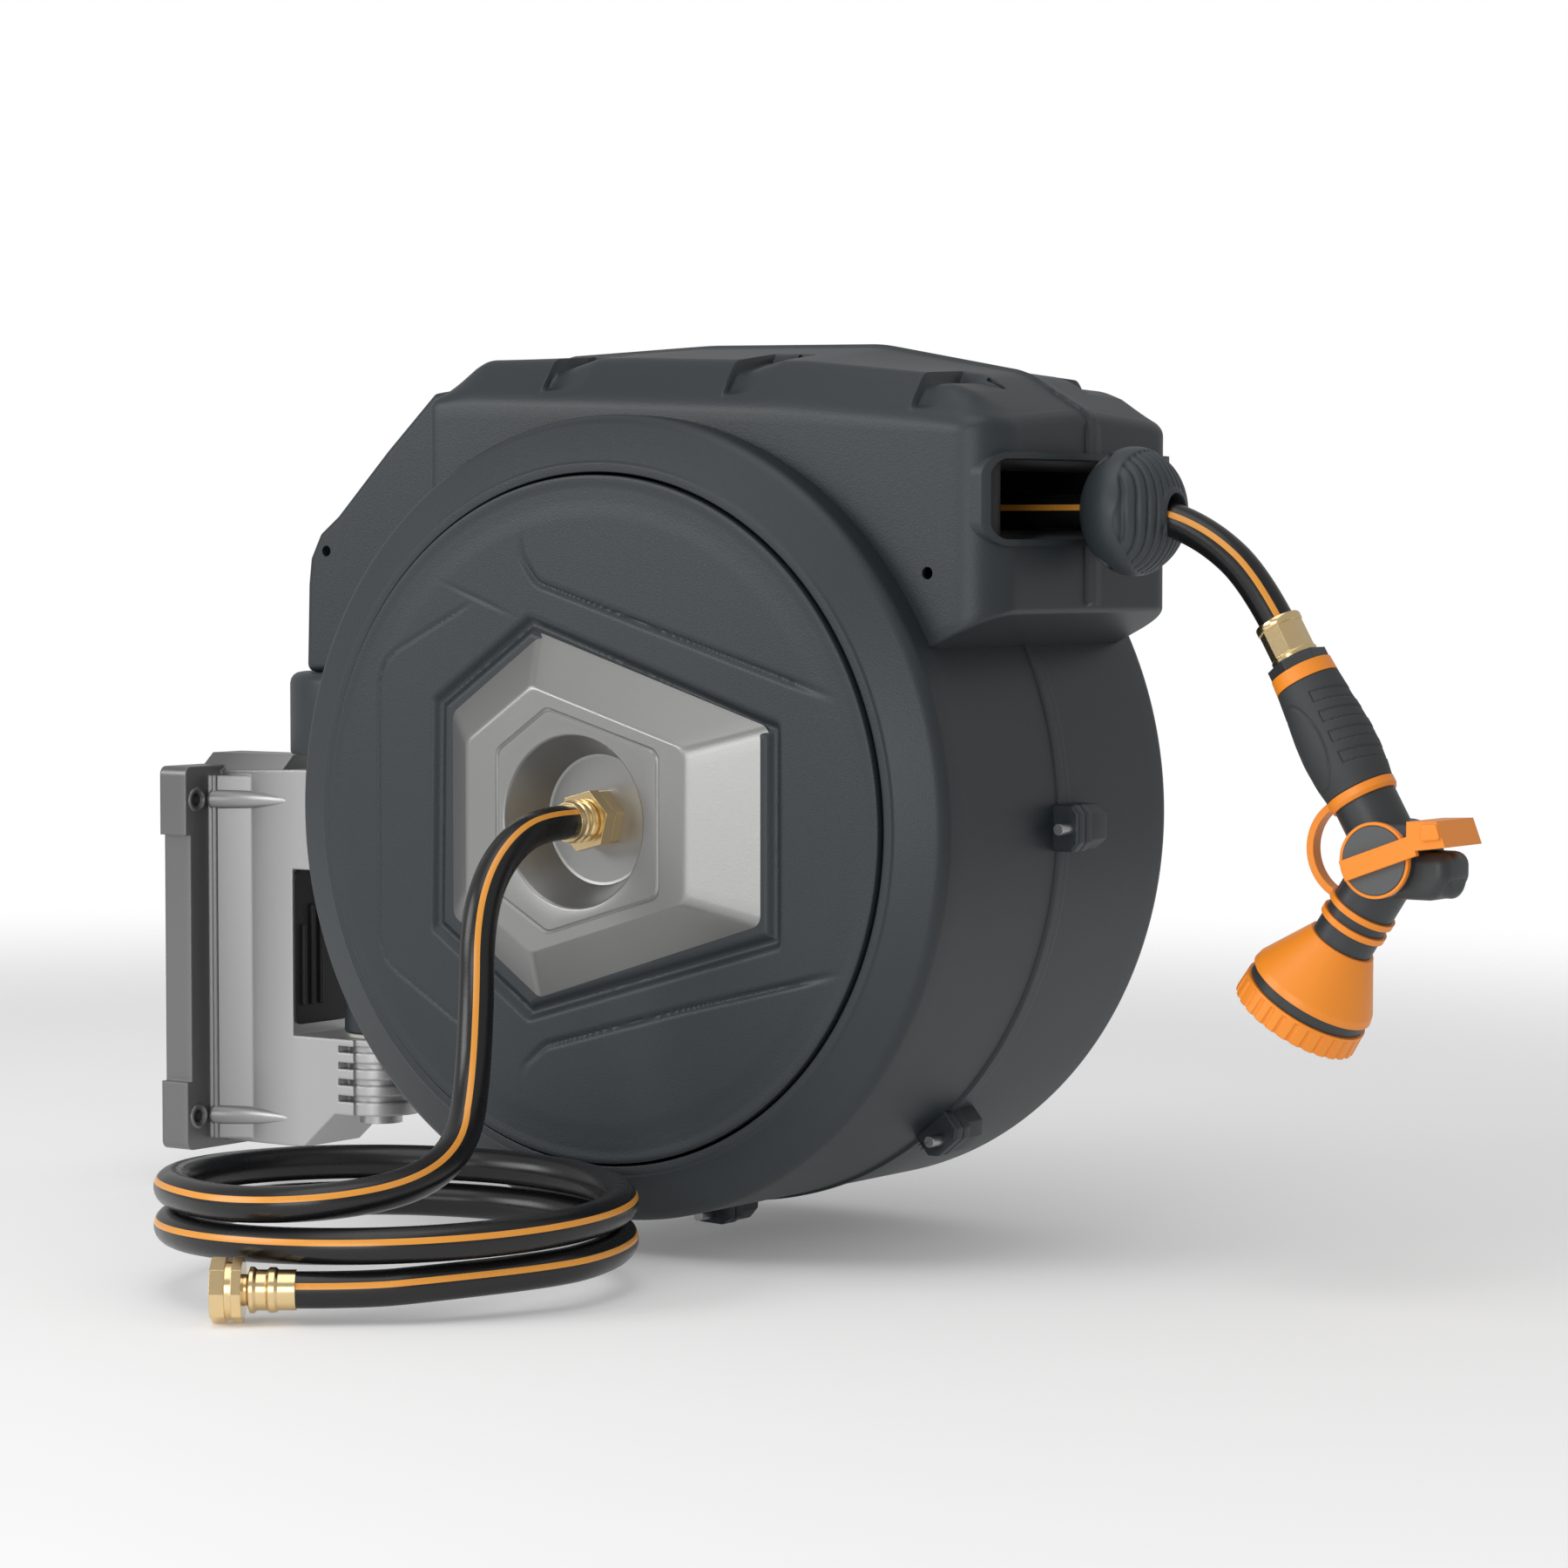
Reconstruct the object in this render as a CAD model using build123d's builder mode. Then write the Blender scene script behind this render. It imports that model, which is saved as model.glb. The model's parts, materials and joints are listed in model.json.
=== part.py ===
"""A wall-hung, self-winding hose reel: swivel bracket, case, sprung drum, leader hose and spray nozzle.

Millimetres. The origin is the centre of the four wall bolts, on the wall. +X leaves the wall,
+Z is up, and the water inlet is on the -Y side.
"""
import os
from math import cos, radians, sin, tan

from build123d import *

os.makedirs("parts", exist_ok=True)

# ---------------------------------------------------------------- driving sizes
WALL_TO_HINGE = 127.0       # the wall to the swivel pin
HINGE_TO_AXIS = 262.0       # the swivel pin to the drum's axis
AXIS_HEIGHT = 102.0         # the drum's axis above the middle of the wall bolts
CASE_R = 224.0              # round part of the case
CASE_HALF_W = 116.0         # the case's straight rim
WALL = 3.0                  # moulded walls
HOSE_D = 19.0               # outside of the hose
RUN = 0.3                   # gap between pieces that move past each other
SLIP = 0.05                 # radial gap of a shaft in its bush

AXIS_X = WALL_TO_HINGE + HINGE_TO_AXIS
HOSE_R = HOSE_D / 2

# bracket
FLANGE_T = 21.0
FLANGE_HALF_W = 58.0
FLANGE_HALF_H = 118.0
EAR_H = 42.0
WAIST_CUT = 4.0
BOLT_DY = 48.0
BOLT_DZ = 97.5
BOLT_R = 4.25
ARM_HALF_W = 26.0
ARM_WALL = 4.0
DOME_H = 7.0
WINDOW_X = 79.0
WINDOW_BOTTOM = -40.0
WINDOW_TOP = 56.0
BARREL_R = 24.0
BARREL_TOP = -46.0
BARREL_BOTTOM = -92.0
PIN_R = 8.0
BUSH_T = 3.0
UPPER_LUG = (127.0, 177.0)
LOWER_LUG = (-43.0, -8.0)
UPPER_LUG_R = 54.0
LOWER_LUG_R = 22.0

# case
RIM_SLOPE_R = 198.0         # where the sloped rim meets the flat side
SIDE_Y = 127.0              # flat side
PAN_R = 192.0               # recess that the round cover sits in
PAN_Y = 122.0
COVER_R = 190.4
COVER_Y = 130.0
HOOD_HALF_W = 97.0
HOOD_CORNER_R = 24.0
HOOD_FRONT = 241.0
TAIL_HALF_W = 38.0
TAIL_SCREW = (-271.0, 148.0)
LUG_SCREW_R = 3.2
CUP_OPENING_R = 52.0

# boss around the inlet
BOSS_Y = 147.0
BOSS_FOOT = [(119, 54), (-38, 103.5), (-101, 59), (-101, -59), (-38, -103.5), (119, -54)]
BOSS_FACE = [(76.5, 42), (-29, 74), (-75, 42.5), (-75, -42.5), (-29, -74), (76.5, -42)]
CUP_MOUTH_R = 47.5
CUP_FLOOR_R = 36.0
CUP_FLOOR_Y = 121.0
CUP_FLOOR_T = 2.0

# drum
DRUM_HALF_W = 88.0
FLANGE_DISC_T = 4.0
FLANGE_DISC_R = 186.0
BARREL_OUT_R = 70.0
BARREL_WALL = 4.0
HOSE_LINE = 170.0           # the drawn hose runs this high above the drum's axis
SHAFT_R = 12.0
HUB_R = 24.0
CARRIER_R = 75.0
CARRIER_T = 6.0
AXLE_R = 10.0
RATCHET_TEETH = 12
RATCHET_R = 62.0
RATCHET_T = 6.0
SPRING_CUP_R = 64.0
SPRING_TURNS = 8
SPRING_STRIP = 1.6

# mouth
MOUTH_MID_Z = 176.3
MOUTH_HALF_H = 21.5
MOUTH_HALF_W = 92.0
MOUTH_CORNER_R = 9.0
BEZEL_OUT = 3.5
BEZEL_LIP = 3.5
ROLLER_R = 7.5
ROLLER_PIN_R = 3.0

# hose stopper and nozzle
BALL_X = 270.0
BALL_R = 35.0
BALL_SEMI = 27.5
HANDLE_LEAN = 29.6
HEAD_LEAN = 33.3

# leader
COIL_CENTRE = (-27.4, -265.0)
COIL_R = 119.5
COIL_TOP = -183.0           # the top strand's centre line, from the drum's axis
COIL_PITCH = 20.5


# ---------------------------------------------------------------- planes and outlines
def side(y):
    """A plane across the drum's axis, facing the inlet side: x forward and y up from the axis."""
    return Plane(origin=(AXIS_X, y, AXIS_HEIGHT), x_dir=(1, 0, 0), z_dir=(0, -1, 0))


def plan(z):
    """A level plane, z above the drum's axis: x forward and y across from the axis."""
    return Plane(origin=(AXIS_X, 0, AXIS_HEIGHT + z))


def section(x):
    """A plane across the hose line, x in front of the drum's axis: x across and y up."""
    return Plane(origin=(AXIS_X + x, 0, AXIS_HEIGHT), x_dir=(0, 1, 0), z_dir=(1, 0, 0))


TURNING = Plane(origin=(AXIS_X, 0, AXIS_HEIGHT))
DRUM_AXIS = Axis((AXIS_X, 0, AXIS_HEIGHT), (0, 1, 0))


def outline(plane, points):
    """A closed face with straight sides."""
    with BuildSketch(plane) as face:
        with BuildLine():
            Polyline(*points, close=True)
        make_face()
    return face.sketch


def disc(plane, radius, hole=0.0):
    """A round face, with a round hole where one is given."""
    with BuildSketch(plane) as face:
        Circle(radius)
        if hole:
            Circle(hole, mode=Mode.SUBTRACT)
    return face.sketch


def turned(*points):
    """Revolve (radius, y) points about the drum's axis into the current part."""
    revolve(outline(TURNING, points), axis=DRUM_AXIS)


def save(part, label):
    """Name a finished piece and write it."""
    part.label = label
    export_step(part, f"parts/{label}.step")


# ---------------------------------------------------------------- wall bracket
def barrel(z_low, z_high, radius, mode=Mode.ADD):
    """A cylinder about the swivel axis."""
    extrude(disc(Plane(origin=(WALL_TO_HINGE, 0, z_low)), radius), amount=z_high - z_low, mode=mode)


with BuildPart() as wall_bracket:
    with BuildSketch(Plane.YZ):
        Rectangle(2 * FLANGE_HALF_W, 2 * FLANGE_HALF_H)
        fillet(vertices(), 5)
        with Locations((-FLANGE_HALF_W, 0), (FLANGE_HALF_W, 0)):
            Rectangle(2 * WAIST_CUT, 2 * (FLANGE_HALF_H - EAR_H), mode=Mode.SUBTRACT)
    extrude(amount=FLANGE_T)
    arm_side = [(FLANGE_T - 1, -114), (87, -114), (WALL_TO_HINGE - 15, BARREL_BOTTOM),
                (WALL_TO_HINGE, BARREL_BOTTOM), (WALL_TO_HINGE, FLANGE_HALF_H), (FLANGE_T - 1, 115)]
    extrude(outline(Plane.XZ, arm_side), amount=ARM_HALF_W, both=True)
    dome = [(-ARM_HALF_W, FLANGE_HALF_H - 4), (ARM_HALF_W, FLANGE_HALF_H - 4),
            (ARM_HALF_W / 2, FLANGE_HALF_H + DOME_H), (-ARM_HALF_W / 2, FLANGE_HALF_H + DOME_H)]
    extrude(outline(Plane.YZ.offset(FLANGE_T), dome), amount=WALL_TO_HINGE - UPPER_LUG_R - FLANGE_T - 4)
    extrude(outline(Plane.YZ.offset(3), dome), amount=FLANGE_T)
    barrel(WINDOW_TOP, FLANGE_HALF_H, ARM_HALF_W)
    barrel(BARREL_BOTTOM, BARREL_TOP, BARREL_R)
    # the flared root where the arm leaves the flange
    for hand in (-1, 1):
        root = [(FLANGE_T - 1, hand * ARM_HALF_W), (46, hand * ARM_HALF_W), (FLANGE_T - 1, hand * 38)]
        extrude(outline(Plane(origin=(0, 0, -112)), root), amount=224)
    # the arm is open towards the wall, and its window lets the case's lower lug swing
    extrude(outline(Plane.XY.offset(-108), [(-1, -22), (WINDOW_X - ARM_WALL, -22),
                                            (WINDOW_X - ARM_WALL, 22), (-1, 22)]),
            amount=216, mode=Mode.SUBTRACT)
    window = [(WINDOW_X, BARREL_TOP), (170, BARREL_TOP), (170, WINDOW_TOP), (WINDOW_X, WINDOW_TOP)]
    extrude(outline(Plane.XZ, window), amount=60, both=True, mode=Mode.SUBTRACT)
    # grooves round the lower barrel
    for step in range(4):
        groove_z = BARREL_TOP - 8 - 10 * step
        with BuildSketch(Plane(origin=(WALL_TO_HINGE, 0, groove_z))) as groove:
            Rectangle(80, 80)
            Circle(BARREL_R - 4, mode=Mode.SUBTRACT)
            with Locations((-20 - 12, 0)):
                Rectangle(40, 80, mode=Mode.SUBTRACT)
        extrude(groove.sketch, amount=4, mode=Mode.SUBTRACT)
    # swivel pin bore
    barrel(BARREL_BOTTOM - 1, BARREL_TOP + 1, PIN_R + SLIP, mode=Mode.SUBTRACT)
    barrel(WINDOW_TOP - 1, FLANGE_HALF_H + DOME_H + 1, PIN_R + SLIP, mode=Mode.SUBTRACT)
    # wall bolts and the long reliefs in front of them
    with BuildSketch(Plane.YZ) as bolt_holes:
        with GridLocations(2 * BOLT_DY, 2 * BOLT_DZ, 2, 2):
            Circle(BOLT_R)
    extrude(bolt_holes.sketch, amount=FLANGE_T + 1, mode=Mode.SUBTRACT)
save(wall_bracket.part, "wall_bracket")

PIN_TOP = UPPER_LUG[1] - 5
PIN_HEAD_Z = BARREL_BOTTOM - 6

with BuildPart() as hinge_pin:
    barrel(PIN_HEAD_Z, PIN_TOP, PIN_R)
    barrel(PIN_HEAD_Z, BARREL_BOTTOM, PIN_R + 5)
save(hinge_pin.part, "hinge_pin")

with BuildPart() as hinge_bush_upper:
    barrel(UPPER_LUG[0], PIN_TOP, PIN_R + BUSH_T)
    barrel(FLANGE_HALF_H + RUN, UPPER_LUG[0], ARM_HALF_W - 4)
    barrel(FLANGE_HALF_H - 1, PIN_TOP + 1, PIN_R + SLIP, mode=Mode.SUBTRACT)
save(hinge_bush_upper.part, "hinge_bush_upper")

with BuildPart() as hinge_bush_lower:
    barrel(LOWER_LUG[0], LOWER_LUG[1], PIN_R + BUSH_T)
    barrel(BARREL_TOP + RUN, LOWER_LUG[0], LOWER_LUG_R - 3)
    barrel(BARREL_TOP - 1, LOWER_LUG[1] + 1, PIN_R + SLIP, mode=Mode.SUBTRACT)
save(hinge_bush_lower.part, "hinge_bush_lower")

# ---------------------------------------------------------------- case
# Sections through the hood: x, bottom, crease, top edge and ridge heights from the drum's axis.
HOOD = [(-145, 100, 236, 238, 240), (-117, 100, 237.5, 259, 262), (-12, 100, 234, 258, 266),
        (107, 100, 229, 253.5, 264), (201, 96, 220.5, 244.5, 247), (HOOD_FRONT, 116, 217.5, 219, 224.5)]
HOOD_TOP_HALF_W = 79.0


def hood_solid(inset, y_start):
    """The near half of the hood, drawn in by an inset, from y_start outwards."""
    with BuildPart(mode=Mode.PRIVATE) as hood:
        faces = []
        for x, low, crease, top, ridge in HOOD:
            x_in = min(max(x, HOOD[0][0] + inset), HOOD_FRONT - inset)
            half = HOOD_HALF_W - inset
            points = [(y_start, low + inset), (-half, low + inset), (-half, crease - inset),
                      (-(HOOD_TOP_HALF_W - inset / 2), top - inset), (y_start, ridge - inset)]
            faces.append(outline(section(x_in), points).faces()[0])
        loft(faces, ruled=True)
        with BuildSketch(plan(0)) as footprint:
            with BuildLine():
                corner = HOOD_CORNER_R - inset
                front = HOOD_FRONT - inset
                half = HOOD_HALF_W - inset
                Polyline((front - corner, -half), (-300, -half), (-300, 5), (front, 5), (front, corner - half))
                RadiusArc((front, corner - half), (front - corner, -half), corner)
            make_face()
        extrude(footprint.sketch, amount=400, mode=Mode.INTERSECT)
    return hood.part


TAIL = [(-146, 150), (-146, 248), (-188, 242.5), (-225.5, 208.5), (-264.5, 169.5), (-279, 158.5),
        (-286.5, 144), (-288.5, 128), (-290, 75), (-200, 75)]
RIM_LUGS = (-0.6, -50.0, -92.0, -140.0)
RIM_LUG_R = CASE_R + 10.0

with BuildPart() as half_case:
    turned((0, 0), (CASE_R, 0), (CASE_R, -CASE_HALF_W), (RIM_SLOPE_R, -SIDE_Y), (PAN_R, -SIDE_Y),
           (PAN_R, -PAN_Y), (0, -PAN_Y))
    turned((CASE_R - 2, 0), (CASE_R + 2, 0), (CASE_R + 2, -3), (CASE_R, -5), (CASE_R - 2, -5))
    add(hood_solid(0, 0))
    extrude(outline(side(0), TAIL), amount=TAIL_HALF_W)
    # lugs for the case screws, round the rim
    for angle in RIM_LUGS:
        with BuildSketch(side(0)) as lug:
            with Locations(Location((0, 0), angle)):
                with Locations((CASE_R, 0)):
                    Rectangle(2 * (RIM_LUG_R - CASE_R) + 12, 26)
        extrude(lug.sketch, amount=25)
    # swivel lugs, solid round the pin
    upper_z = UPPER_LUG[0] - AXIS_HEIGHT
    with BuildSketch(plan(upper_z)) as upper:
        with Locations((-HINGE_TO_AXIS, 0)):
            Circle(UPPER_LUG_R)
        with Locations((-HINGE_TO_AXIS + 40, 0)):
            Rectangle(80, 2 * UPPER_LUG_R - 20)
        with Locations((0, 200)):
            Rectangle(900, 400, mode=Mode.SUBTRACT)
    extrude(upper.sketch, amount=UPPER_LUG[1] - UPPER_LUG[0])
    with BuildSketch(plan(LOWER_LUG[0] - AXIS_HEIGHT)) as lower:
        with Locations((-HINGE_TO_AXIS, 0)):
            Circle(LOWER_LUG_R)
        with Locations((-HINGE_TO_AXIS + 45, 0)):
            Rectangle(90, 2 * LOWER_LUG_R - 4)
        with Locations((0, 200)):
            Rectangle(900, 400, mode=Mode.SUBTRACT)
    extrude(lower.sketch, amount=LOWER_LUG[1] - LOWER_LUG[0])
    # hollow inside
    inner_y = PAN_Y - WALL
    revolve(outline(TURNING, [(0, 1), (CASE_R - WALL, 1), (CASE_R - WALL, -CASE_HALF_W + 1.5),
                              (CASE_R - WALL - 10, -inner_y), (0, -inner_y)]),
            axis=DRUM_AXIS, mode=Mode.SUBTRACT)
    add(hood_solid(WALL, 1), mode=Mode.SUBTRACT)
    # screw holes
    with BuildSketch(side(0)) as screw_holes:
        for angle in RIM_LUGS:
            with Locations((RIM_LUG_R * cos(radians(angle)), RIM_LUG_R * sin(radians(angle)))):
                Circle(LUG_SCREW_R)
        with Locations(TAIL_SCREW):
            Circle(LUG_SCREW_R)
    extrude(screw_holes.sketch, amount=60, mode=Mode.SUBTRACT)
    # swivel pin and bush bores
    barrel(LOWER_LUG[0] - 1, LOWER_LUG[1] + 1, PIN_R + BUSH_T, mode=Mode.SUBTRACT)
    barrel(UPPER_LUG[0] - 1, PIN_TOP + RUN, PIN_R + BUSH_T, mode=Mode.SUBTRACT)
    # the mouth
    with BuildSketch(section(HOOD_FRONT - 60)) as mouth:
        with Locations((0, MOUTH_MID_Z)):
            RectangleRounded(2 * (MOUTH_HALF_W + BEZEL_LIP), 2 * (MOUTH_HALF_H + BEZEL_LIP),
                             MOUTH_CORNER_R + BEZEL_LIP)
    extrude(mouth.sketch, amount=80, mode=Mode.SUBTRACT)

POST_R = 4.0
PAWL_AT = (-60.0, 62.0)      # the pawl's pivot, from the drum's axis
SIDE_INNER_Y = PAN_Y - WALL
CARRIER_Y = SIDE_INNER_Y - CARRIER_T

with BuildPart() as case_shell_near:
    add(half_case.part)
    extrude(disc(side(-SIDE_INNER_Y + 1), CUP_OPENING_R), amount=WALL + 2, mode=Mode.SUBTRACT)
save(case_shell_near.part, "case_shell_near")

with BuildPart() as case_shell_far:
    add(mirror(half_case.part, about=Plane.XZ, mode=Mode.PRIVATE))
    extrude(disc(side(PAN_Y + 1), AXLE_R + SLIP), amount=WALL + 2, mode=Mode.SUBTRACT)
save(case_shell_far.part, "case_shell_far")

with BuildPart() as case_screws:
    screw_at = [(RIM_LUG_R * cos(radians(a)), RIM_LUG_R * sin(radians(a))) for a in RIM_LUGS]
    screw_at.append(TAIL_SCREW)
    with BuildSketch(side(12)) as shanks:
        with Locations(*screw_at):
            Circle(LUG_SCREW_R - SLIP)
    extrude(shanks.sketch, amount=31)
save(case_screws.part, "case_screws")

# ---------------------------------------------------------------- round covers and the inlet boss
COVER_FACE_T = 3.0
COVER_RIM_T = 3.5
BOSS_FLANGE = 6.0


def grown(points, by):
    """The outline of points, moved outwards by a distance."""
    with BuildSketch(Plane.XY) as shape:
        with BuildLine():
            Polyline(*points, close=True)
        make_face()
        offset(amount=by, kind=Kind.INTERSECTION)
    return shape.sketch


def on_side(sketch, y):
    """A sketch from the ground plane, placed on the side plane at y."""
    return side(y) * sketch


with BuildPart() as cover_near:
    turned((0, -COVER_Y + COVER_FACE_T), (COVER_R, -COVER_Y + COVER_FACE_T), (COVER_R, -COVER_Y + 1),
           (COVER_R - 1, -COVER_Y), (0, -COVER_Y))
    turned((COVER_R - COVER_RIM_T, -PAN_Y - SLIP), (COVER_R, -PAN_Y - SLIP), (COVER_R, -COVER_Y + COVER_FACE_T),
           (COVER_R - COVER_RIM_T, -COVER_Y + COVER_FACE_T))
    extrude(on_side(grown(BOSS_FOOT, 0.25), -SIDE_Y + 5), amount=20, mode=Mode.SUBTRACT)
save(cover_near.part, "cover_near")

with BuildPart() as cover_far:
    turned((0, COVER_Y - COVER_FACE_T), (COVER_R, COVER_Y - COVER_FACE_T), (COVER_R, COVER_Y - 1),
           (COVER_R - 1, COVER_Y), (0, COVER_Y))
    turned((COVER_R - COVER_RIM_T, PAN_Y + SLIP), (COVER_R, PAN_Y + SLIP), (COVER_R, COVER_Y - COVER_FACE_T),
           (COVER_R - COVER_RIM_T, COVER_Y - COVER_FACE_T))
save(cover_far.part, "cover_far")

with BuildPart() as hub_trim:
    foot = on_side(grown(BOSS_FOOT, 0), -SIDE_Y)
    face = on_side(grown(BOSS_FACE, 0), -BOSS_Y)
    loft([foot.faces()[0], face.faces()[0]], ruled=True)
    extrude(on_side(grown(BOSS_FOOT, BOSS_FLANGE), -SIDE_Y + 2.5), amount=2.5)
    foot_in = on_side(grown(BOSS_FOOT, -WALL), -SIDE_Y + 2.5)
    face_in = on_side(grown(BOSS_FACE, -WALL), -BOSS_Y + WALL)
    loft([foot_in.faces()[0], face_in.faces()[0]], ruled=True, mode=Mode.SUBTRACT)
    turned((0, -CUP_FLOOR_Y + CUP_FLOOR_T), (CUP_FLOOR_R + WALL, -CUP_FLOOR_Y + CUP_FLOOR_T),
           (CUP_MOUTH_R + WALL, -BOSS_Y), (0, -BOSS_Y))
    revolve(outline(TURNING, [(0, -CUP_FLOOR_Y), (CUP_FLOOR_R, -CUP_FLOOR_Y), (CUP_MOUTH_R, -BOSS_Y),
                              (CUP_MOUTH_R, -BOSS_Y - 5), (0, -BOSS_Y - 5)]),
            axis=DRUM_AXIS, mode=Mode.SUBTRACT)
    extrude(disc(side(-CUP_FLOOR_Y + 5), SHAFT_R + SLIP), amount=20, mode=Mode.SUBTRACT)
save(hub_trim.part, "hub_trim")

# ---------------------------------------------------------------- inlet, fixed to the case
with BuildPart() as shaft_carrier:
    turned((SHAFT_R + SLIP, -CARRIER_Y), (CARRIER_R, -CARRIER_Y), (CARRIER_R, -SIDE_INNER_Y),
           (SHAFT_R + SLIP, -SIDE_INNER_Y))
save(shaft_carrier.part, "shaft_carrier")

SHAFT_BORE_R = 6.5
SHAFT_END_Y = 34.0
INLET_NUT_Y = 130.0
FERRULE_R = 10.9
RISER_START_Y = 152.0

with BuildPart() as inlet_shaft:
    turned((SHAFT_BORE_R, -SHAFT_END_Y), (SHAFT_R, -SHAFT_END_Y), (SHAFT_R, -CARRIER_Y + 5),
           (SHAFT_R + 8, -CARRIER_Y + 5), (SHAFT_R + 8, -CARRIER_Y), (SHAFT_R, -CARRIER_Y),
           (SHAFT_R, -INLET_NUT_Y), (SHAFT_BORE_R, -INLET_NUT_Y))
save(inlet_shaft.part, "inlet_shaft")


def hexagon(y, radius, length, hole):
    """A hexagonal ring on the drum's axis, from y outwards."""
    with BuildSketch(side(y)) as nut:
        RegularPolygon(radius, 6, rotation=15)
        Circle(hole, mode=Mode.SUBTRACT)
    extrude(nut.sketch, amount=length)


with BuildPart() as inlet_locknut:
    hexagon(-CUP_FLOOR_Y, 17.0, 8.0, SHAFT_R + SLIP)
    chamfer(inlet_locknut.edges().filter_by(GeomType.LINE).filter_by(Axis.Y), 0.6)
save(inlet_locknut.part, "inlet_locknut")

with BuildPart() as inlet_fitting:
    hexagon(-INLET_NUT_Y, 17.5, 8.0, SHAFT_BORE_R)
    turned((SHAFT_BORE_R, -INLET_NUT_Y - 8), (FERRULE_R, -INLET_NUT_Y - 8), (FERRULE_R + 1, -INLET_NUT_Y - 9.5),
           (FERRULE_R + 1, -INLET_NUT_Y - 11.5), (FERRULE_R, -INLET_NUT_Y - 12.5),
           (FERRULE_R, -INLET_NUT_Y - 14), (FERRULE_R + 1, -INLET_NUT_Y - 15),
           (FERRULE_R + 1, -INLET_NUT_Y - 17),
           (FERRULE_R, -INLET_NUT_Y - 18), (FERRULE_R, -RISER_START_Y), (SHAFT_BORE_R, -RISER_START_Y))
save(inlet_fitting.part, "inlet_fitting")

# ---------------------------------------------------------------- drum
HUB_IN = SHAFT_R + SLIP
NEAR_FACE = -DRUM_HALF_W - FLANGE_DISC_T
SPIGOT_Y = 43.0
SPIGOT_R = 8.0

with BuildPart() as drum_half_near:
    turned((HUB_R - 6, NEAR_FACE), (HUB_R - 6, -74), (HUB_R, -74), (HUB_R, -DRUM_HALF_W),
           (BARREL_OUT_R - BARREL_WALL, -DRUM_HALF_W), (BARREL_OUT_R - BARREL_WALL, 0), (BARREL_OUT_R, 0),
           (BARREL_OUT_R, -DRUM_HALF_W), (FLANGE_DISC_R, -DRUM_HALF_W), (FLANGE_DISC_R, NEAR_FACE))
    with BuildSketch(side(-DRUM_HALF_W + 1)) as lightening:
        with PolarLocations(128, 8):
            Circle(26)
    extrude(lightening.sketch, amount=10, mode=Mode.SUBTRACT)
    with BuildSketch(plan(0)) as spigot_hole:
        with Locations((0, -SPIGOT_Y)):
            Circle(SPIGOT_R + SLIP)
    extrude(spigot_hole.sketch, amount=BARREL_OUT_R + 5, mode=Mode.SUBTRACT)
save(drum_half_near.part, "drum_half_near")

with BuildPart() as drum_half_far:
    turned((AXLE_R + 3, 6), (BARREL_OUT_R - BARREL_WALL, 6), (BARREL_OUT_R - BARREL_WALL, 0), (BARREL_OUT_R, 0),
           (BARREL_OUT_R, DRUM_HALF_W), (FLANGE_DISC_R, DRUM_HALF_W), (FLANGE_DISC_R, -NEAR_FACE),
           (BARREL_OUT_R - BARREL_WALL, -NEAR_FACE), (BARREL_OUT_R - BARREL_WALL, 12), (AXLE_R + 3, 12))
    with BuildSketch(side(DRUM_HALF_W - 1)) as lightening:
        with PolarLocations(128, 8):
            Circle(26)
    extrude(lightening.sketch, amount=-10, mode=Mode.SUBTRACT)
save(drum_half_far.part, "drum_half_far")

with BuildPart() as drum_bush_near:
    turned((HUB_IN, -90), (HUB_R - 6, -90), (HUB_R - 6, -74), (HUB_IN, -74))
save(drum_bush_near.part, "drum_bush_near")

with BuildPart() as drum_bush_far:
    turned((AXLE_R + SLIP, 4), (AXLE_R + 3, 4), (AXLE_R + 3, 14), (AXLE_R + SLIP, 14))
save(drum_bush_far.part, "drum_bush_far")

WOUND_R = HOSE_LINE - HOSE_R - RUN
WOUND_ROWS = 9
with BuildPart() as wound_hose:
    row_pitch = 2 * (DRUM_HALF_W - RUN) / WOUND_ROWS
    with BuildSketch(TURNING) as bundle:
        with Locations(((BARREL_OUT_R + RUN + WOUND_R - HOSE_R) / 2, 0)):
            Rectangle(WOUND_R - HOSE_R - BARREL_OUT_R - RUN, 2 * (DRUM_HALF_W - RUN))
        rows_y = [(k - (WOUND_ROWS - 1) / 2) * row_pitch for k in range(WOUND_ROWS)]
        with Locations(*[(WOUND_R - HOSE_R, y) for y in rows_y]):
            Circle(HOSE_R)
    revolve(bundle.sketch, axis=DRUM_AXIS)
save(wound_hose.part, "wound_hose")

ELBOW_END_Y = SHAFT_END_Y - 8
SEAL_T = 2.4
SEAL_YS = (-52.0, -60.0)
ROTARY_GAP = 0.08
with BuildPart() as drum_elbow:
    turned((0, -ELBOW_END_Y), (HUB_R - 4, -ELBOW_END_Y), (HUB_R - 4, -72), (0, -72))
    # the outlet spigot that feeds the first turn of hose
    with BuildSketch(plan(0)) as spigot:
        with Locations((0, -SPIGOT_Y)):
            Circle(SPIGOT_R)
    extrude(spigot.sketch, amount=BARREL_OUT_R - 0.5)
    bore = [(0, -SHAFT_END_Y), (SHAFT_R + ROTARY_GAP, -SHAFT_END_Y), (SHAFT_R + ROTARY_GAP, -73), (0, -73)]
    revolve(outline(TURNING, bore), axis=DRUM_AXIS, mode=Mode.SUBTRACT)
    for seal_y in SEAL_YS:
        seat = [(SHAFT_R, seal_y), (SHAFT_R + SEAL_T, seal_y), (SHAFT_R + SEAL_T, seal_y - SEAL_T),
                (SHAFT_R, seal_y - SEAL_T)]
        revolve(outline(TURNING, seat), axis=DRUM_AXIS, mode=Mode.SUBTRACT)
save(drum_elbow.part, "drum_elbow")

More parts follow.
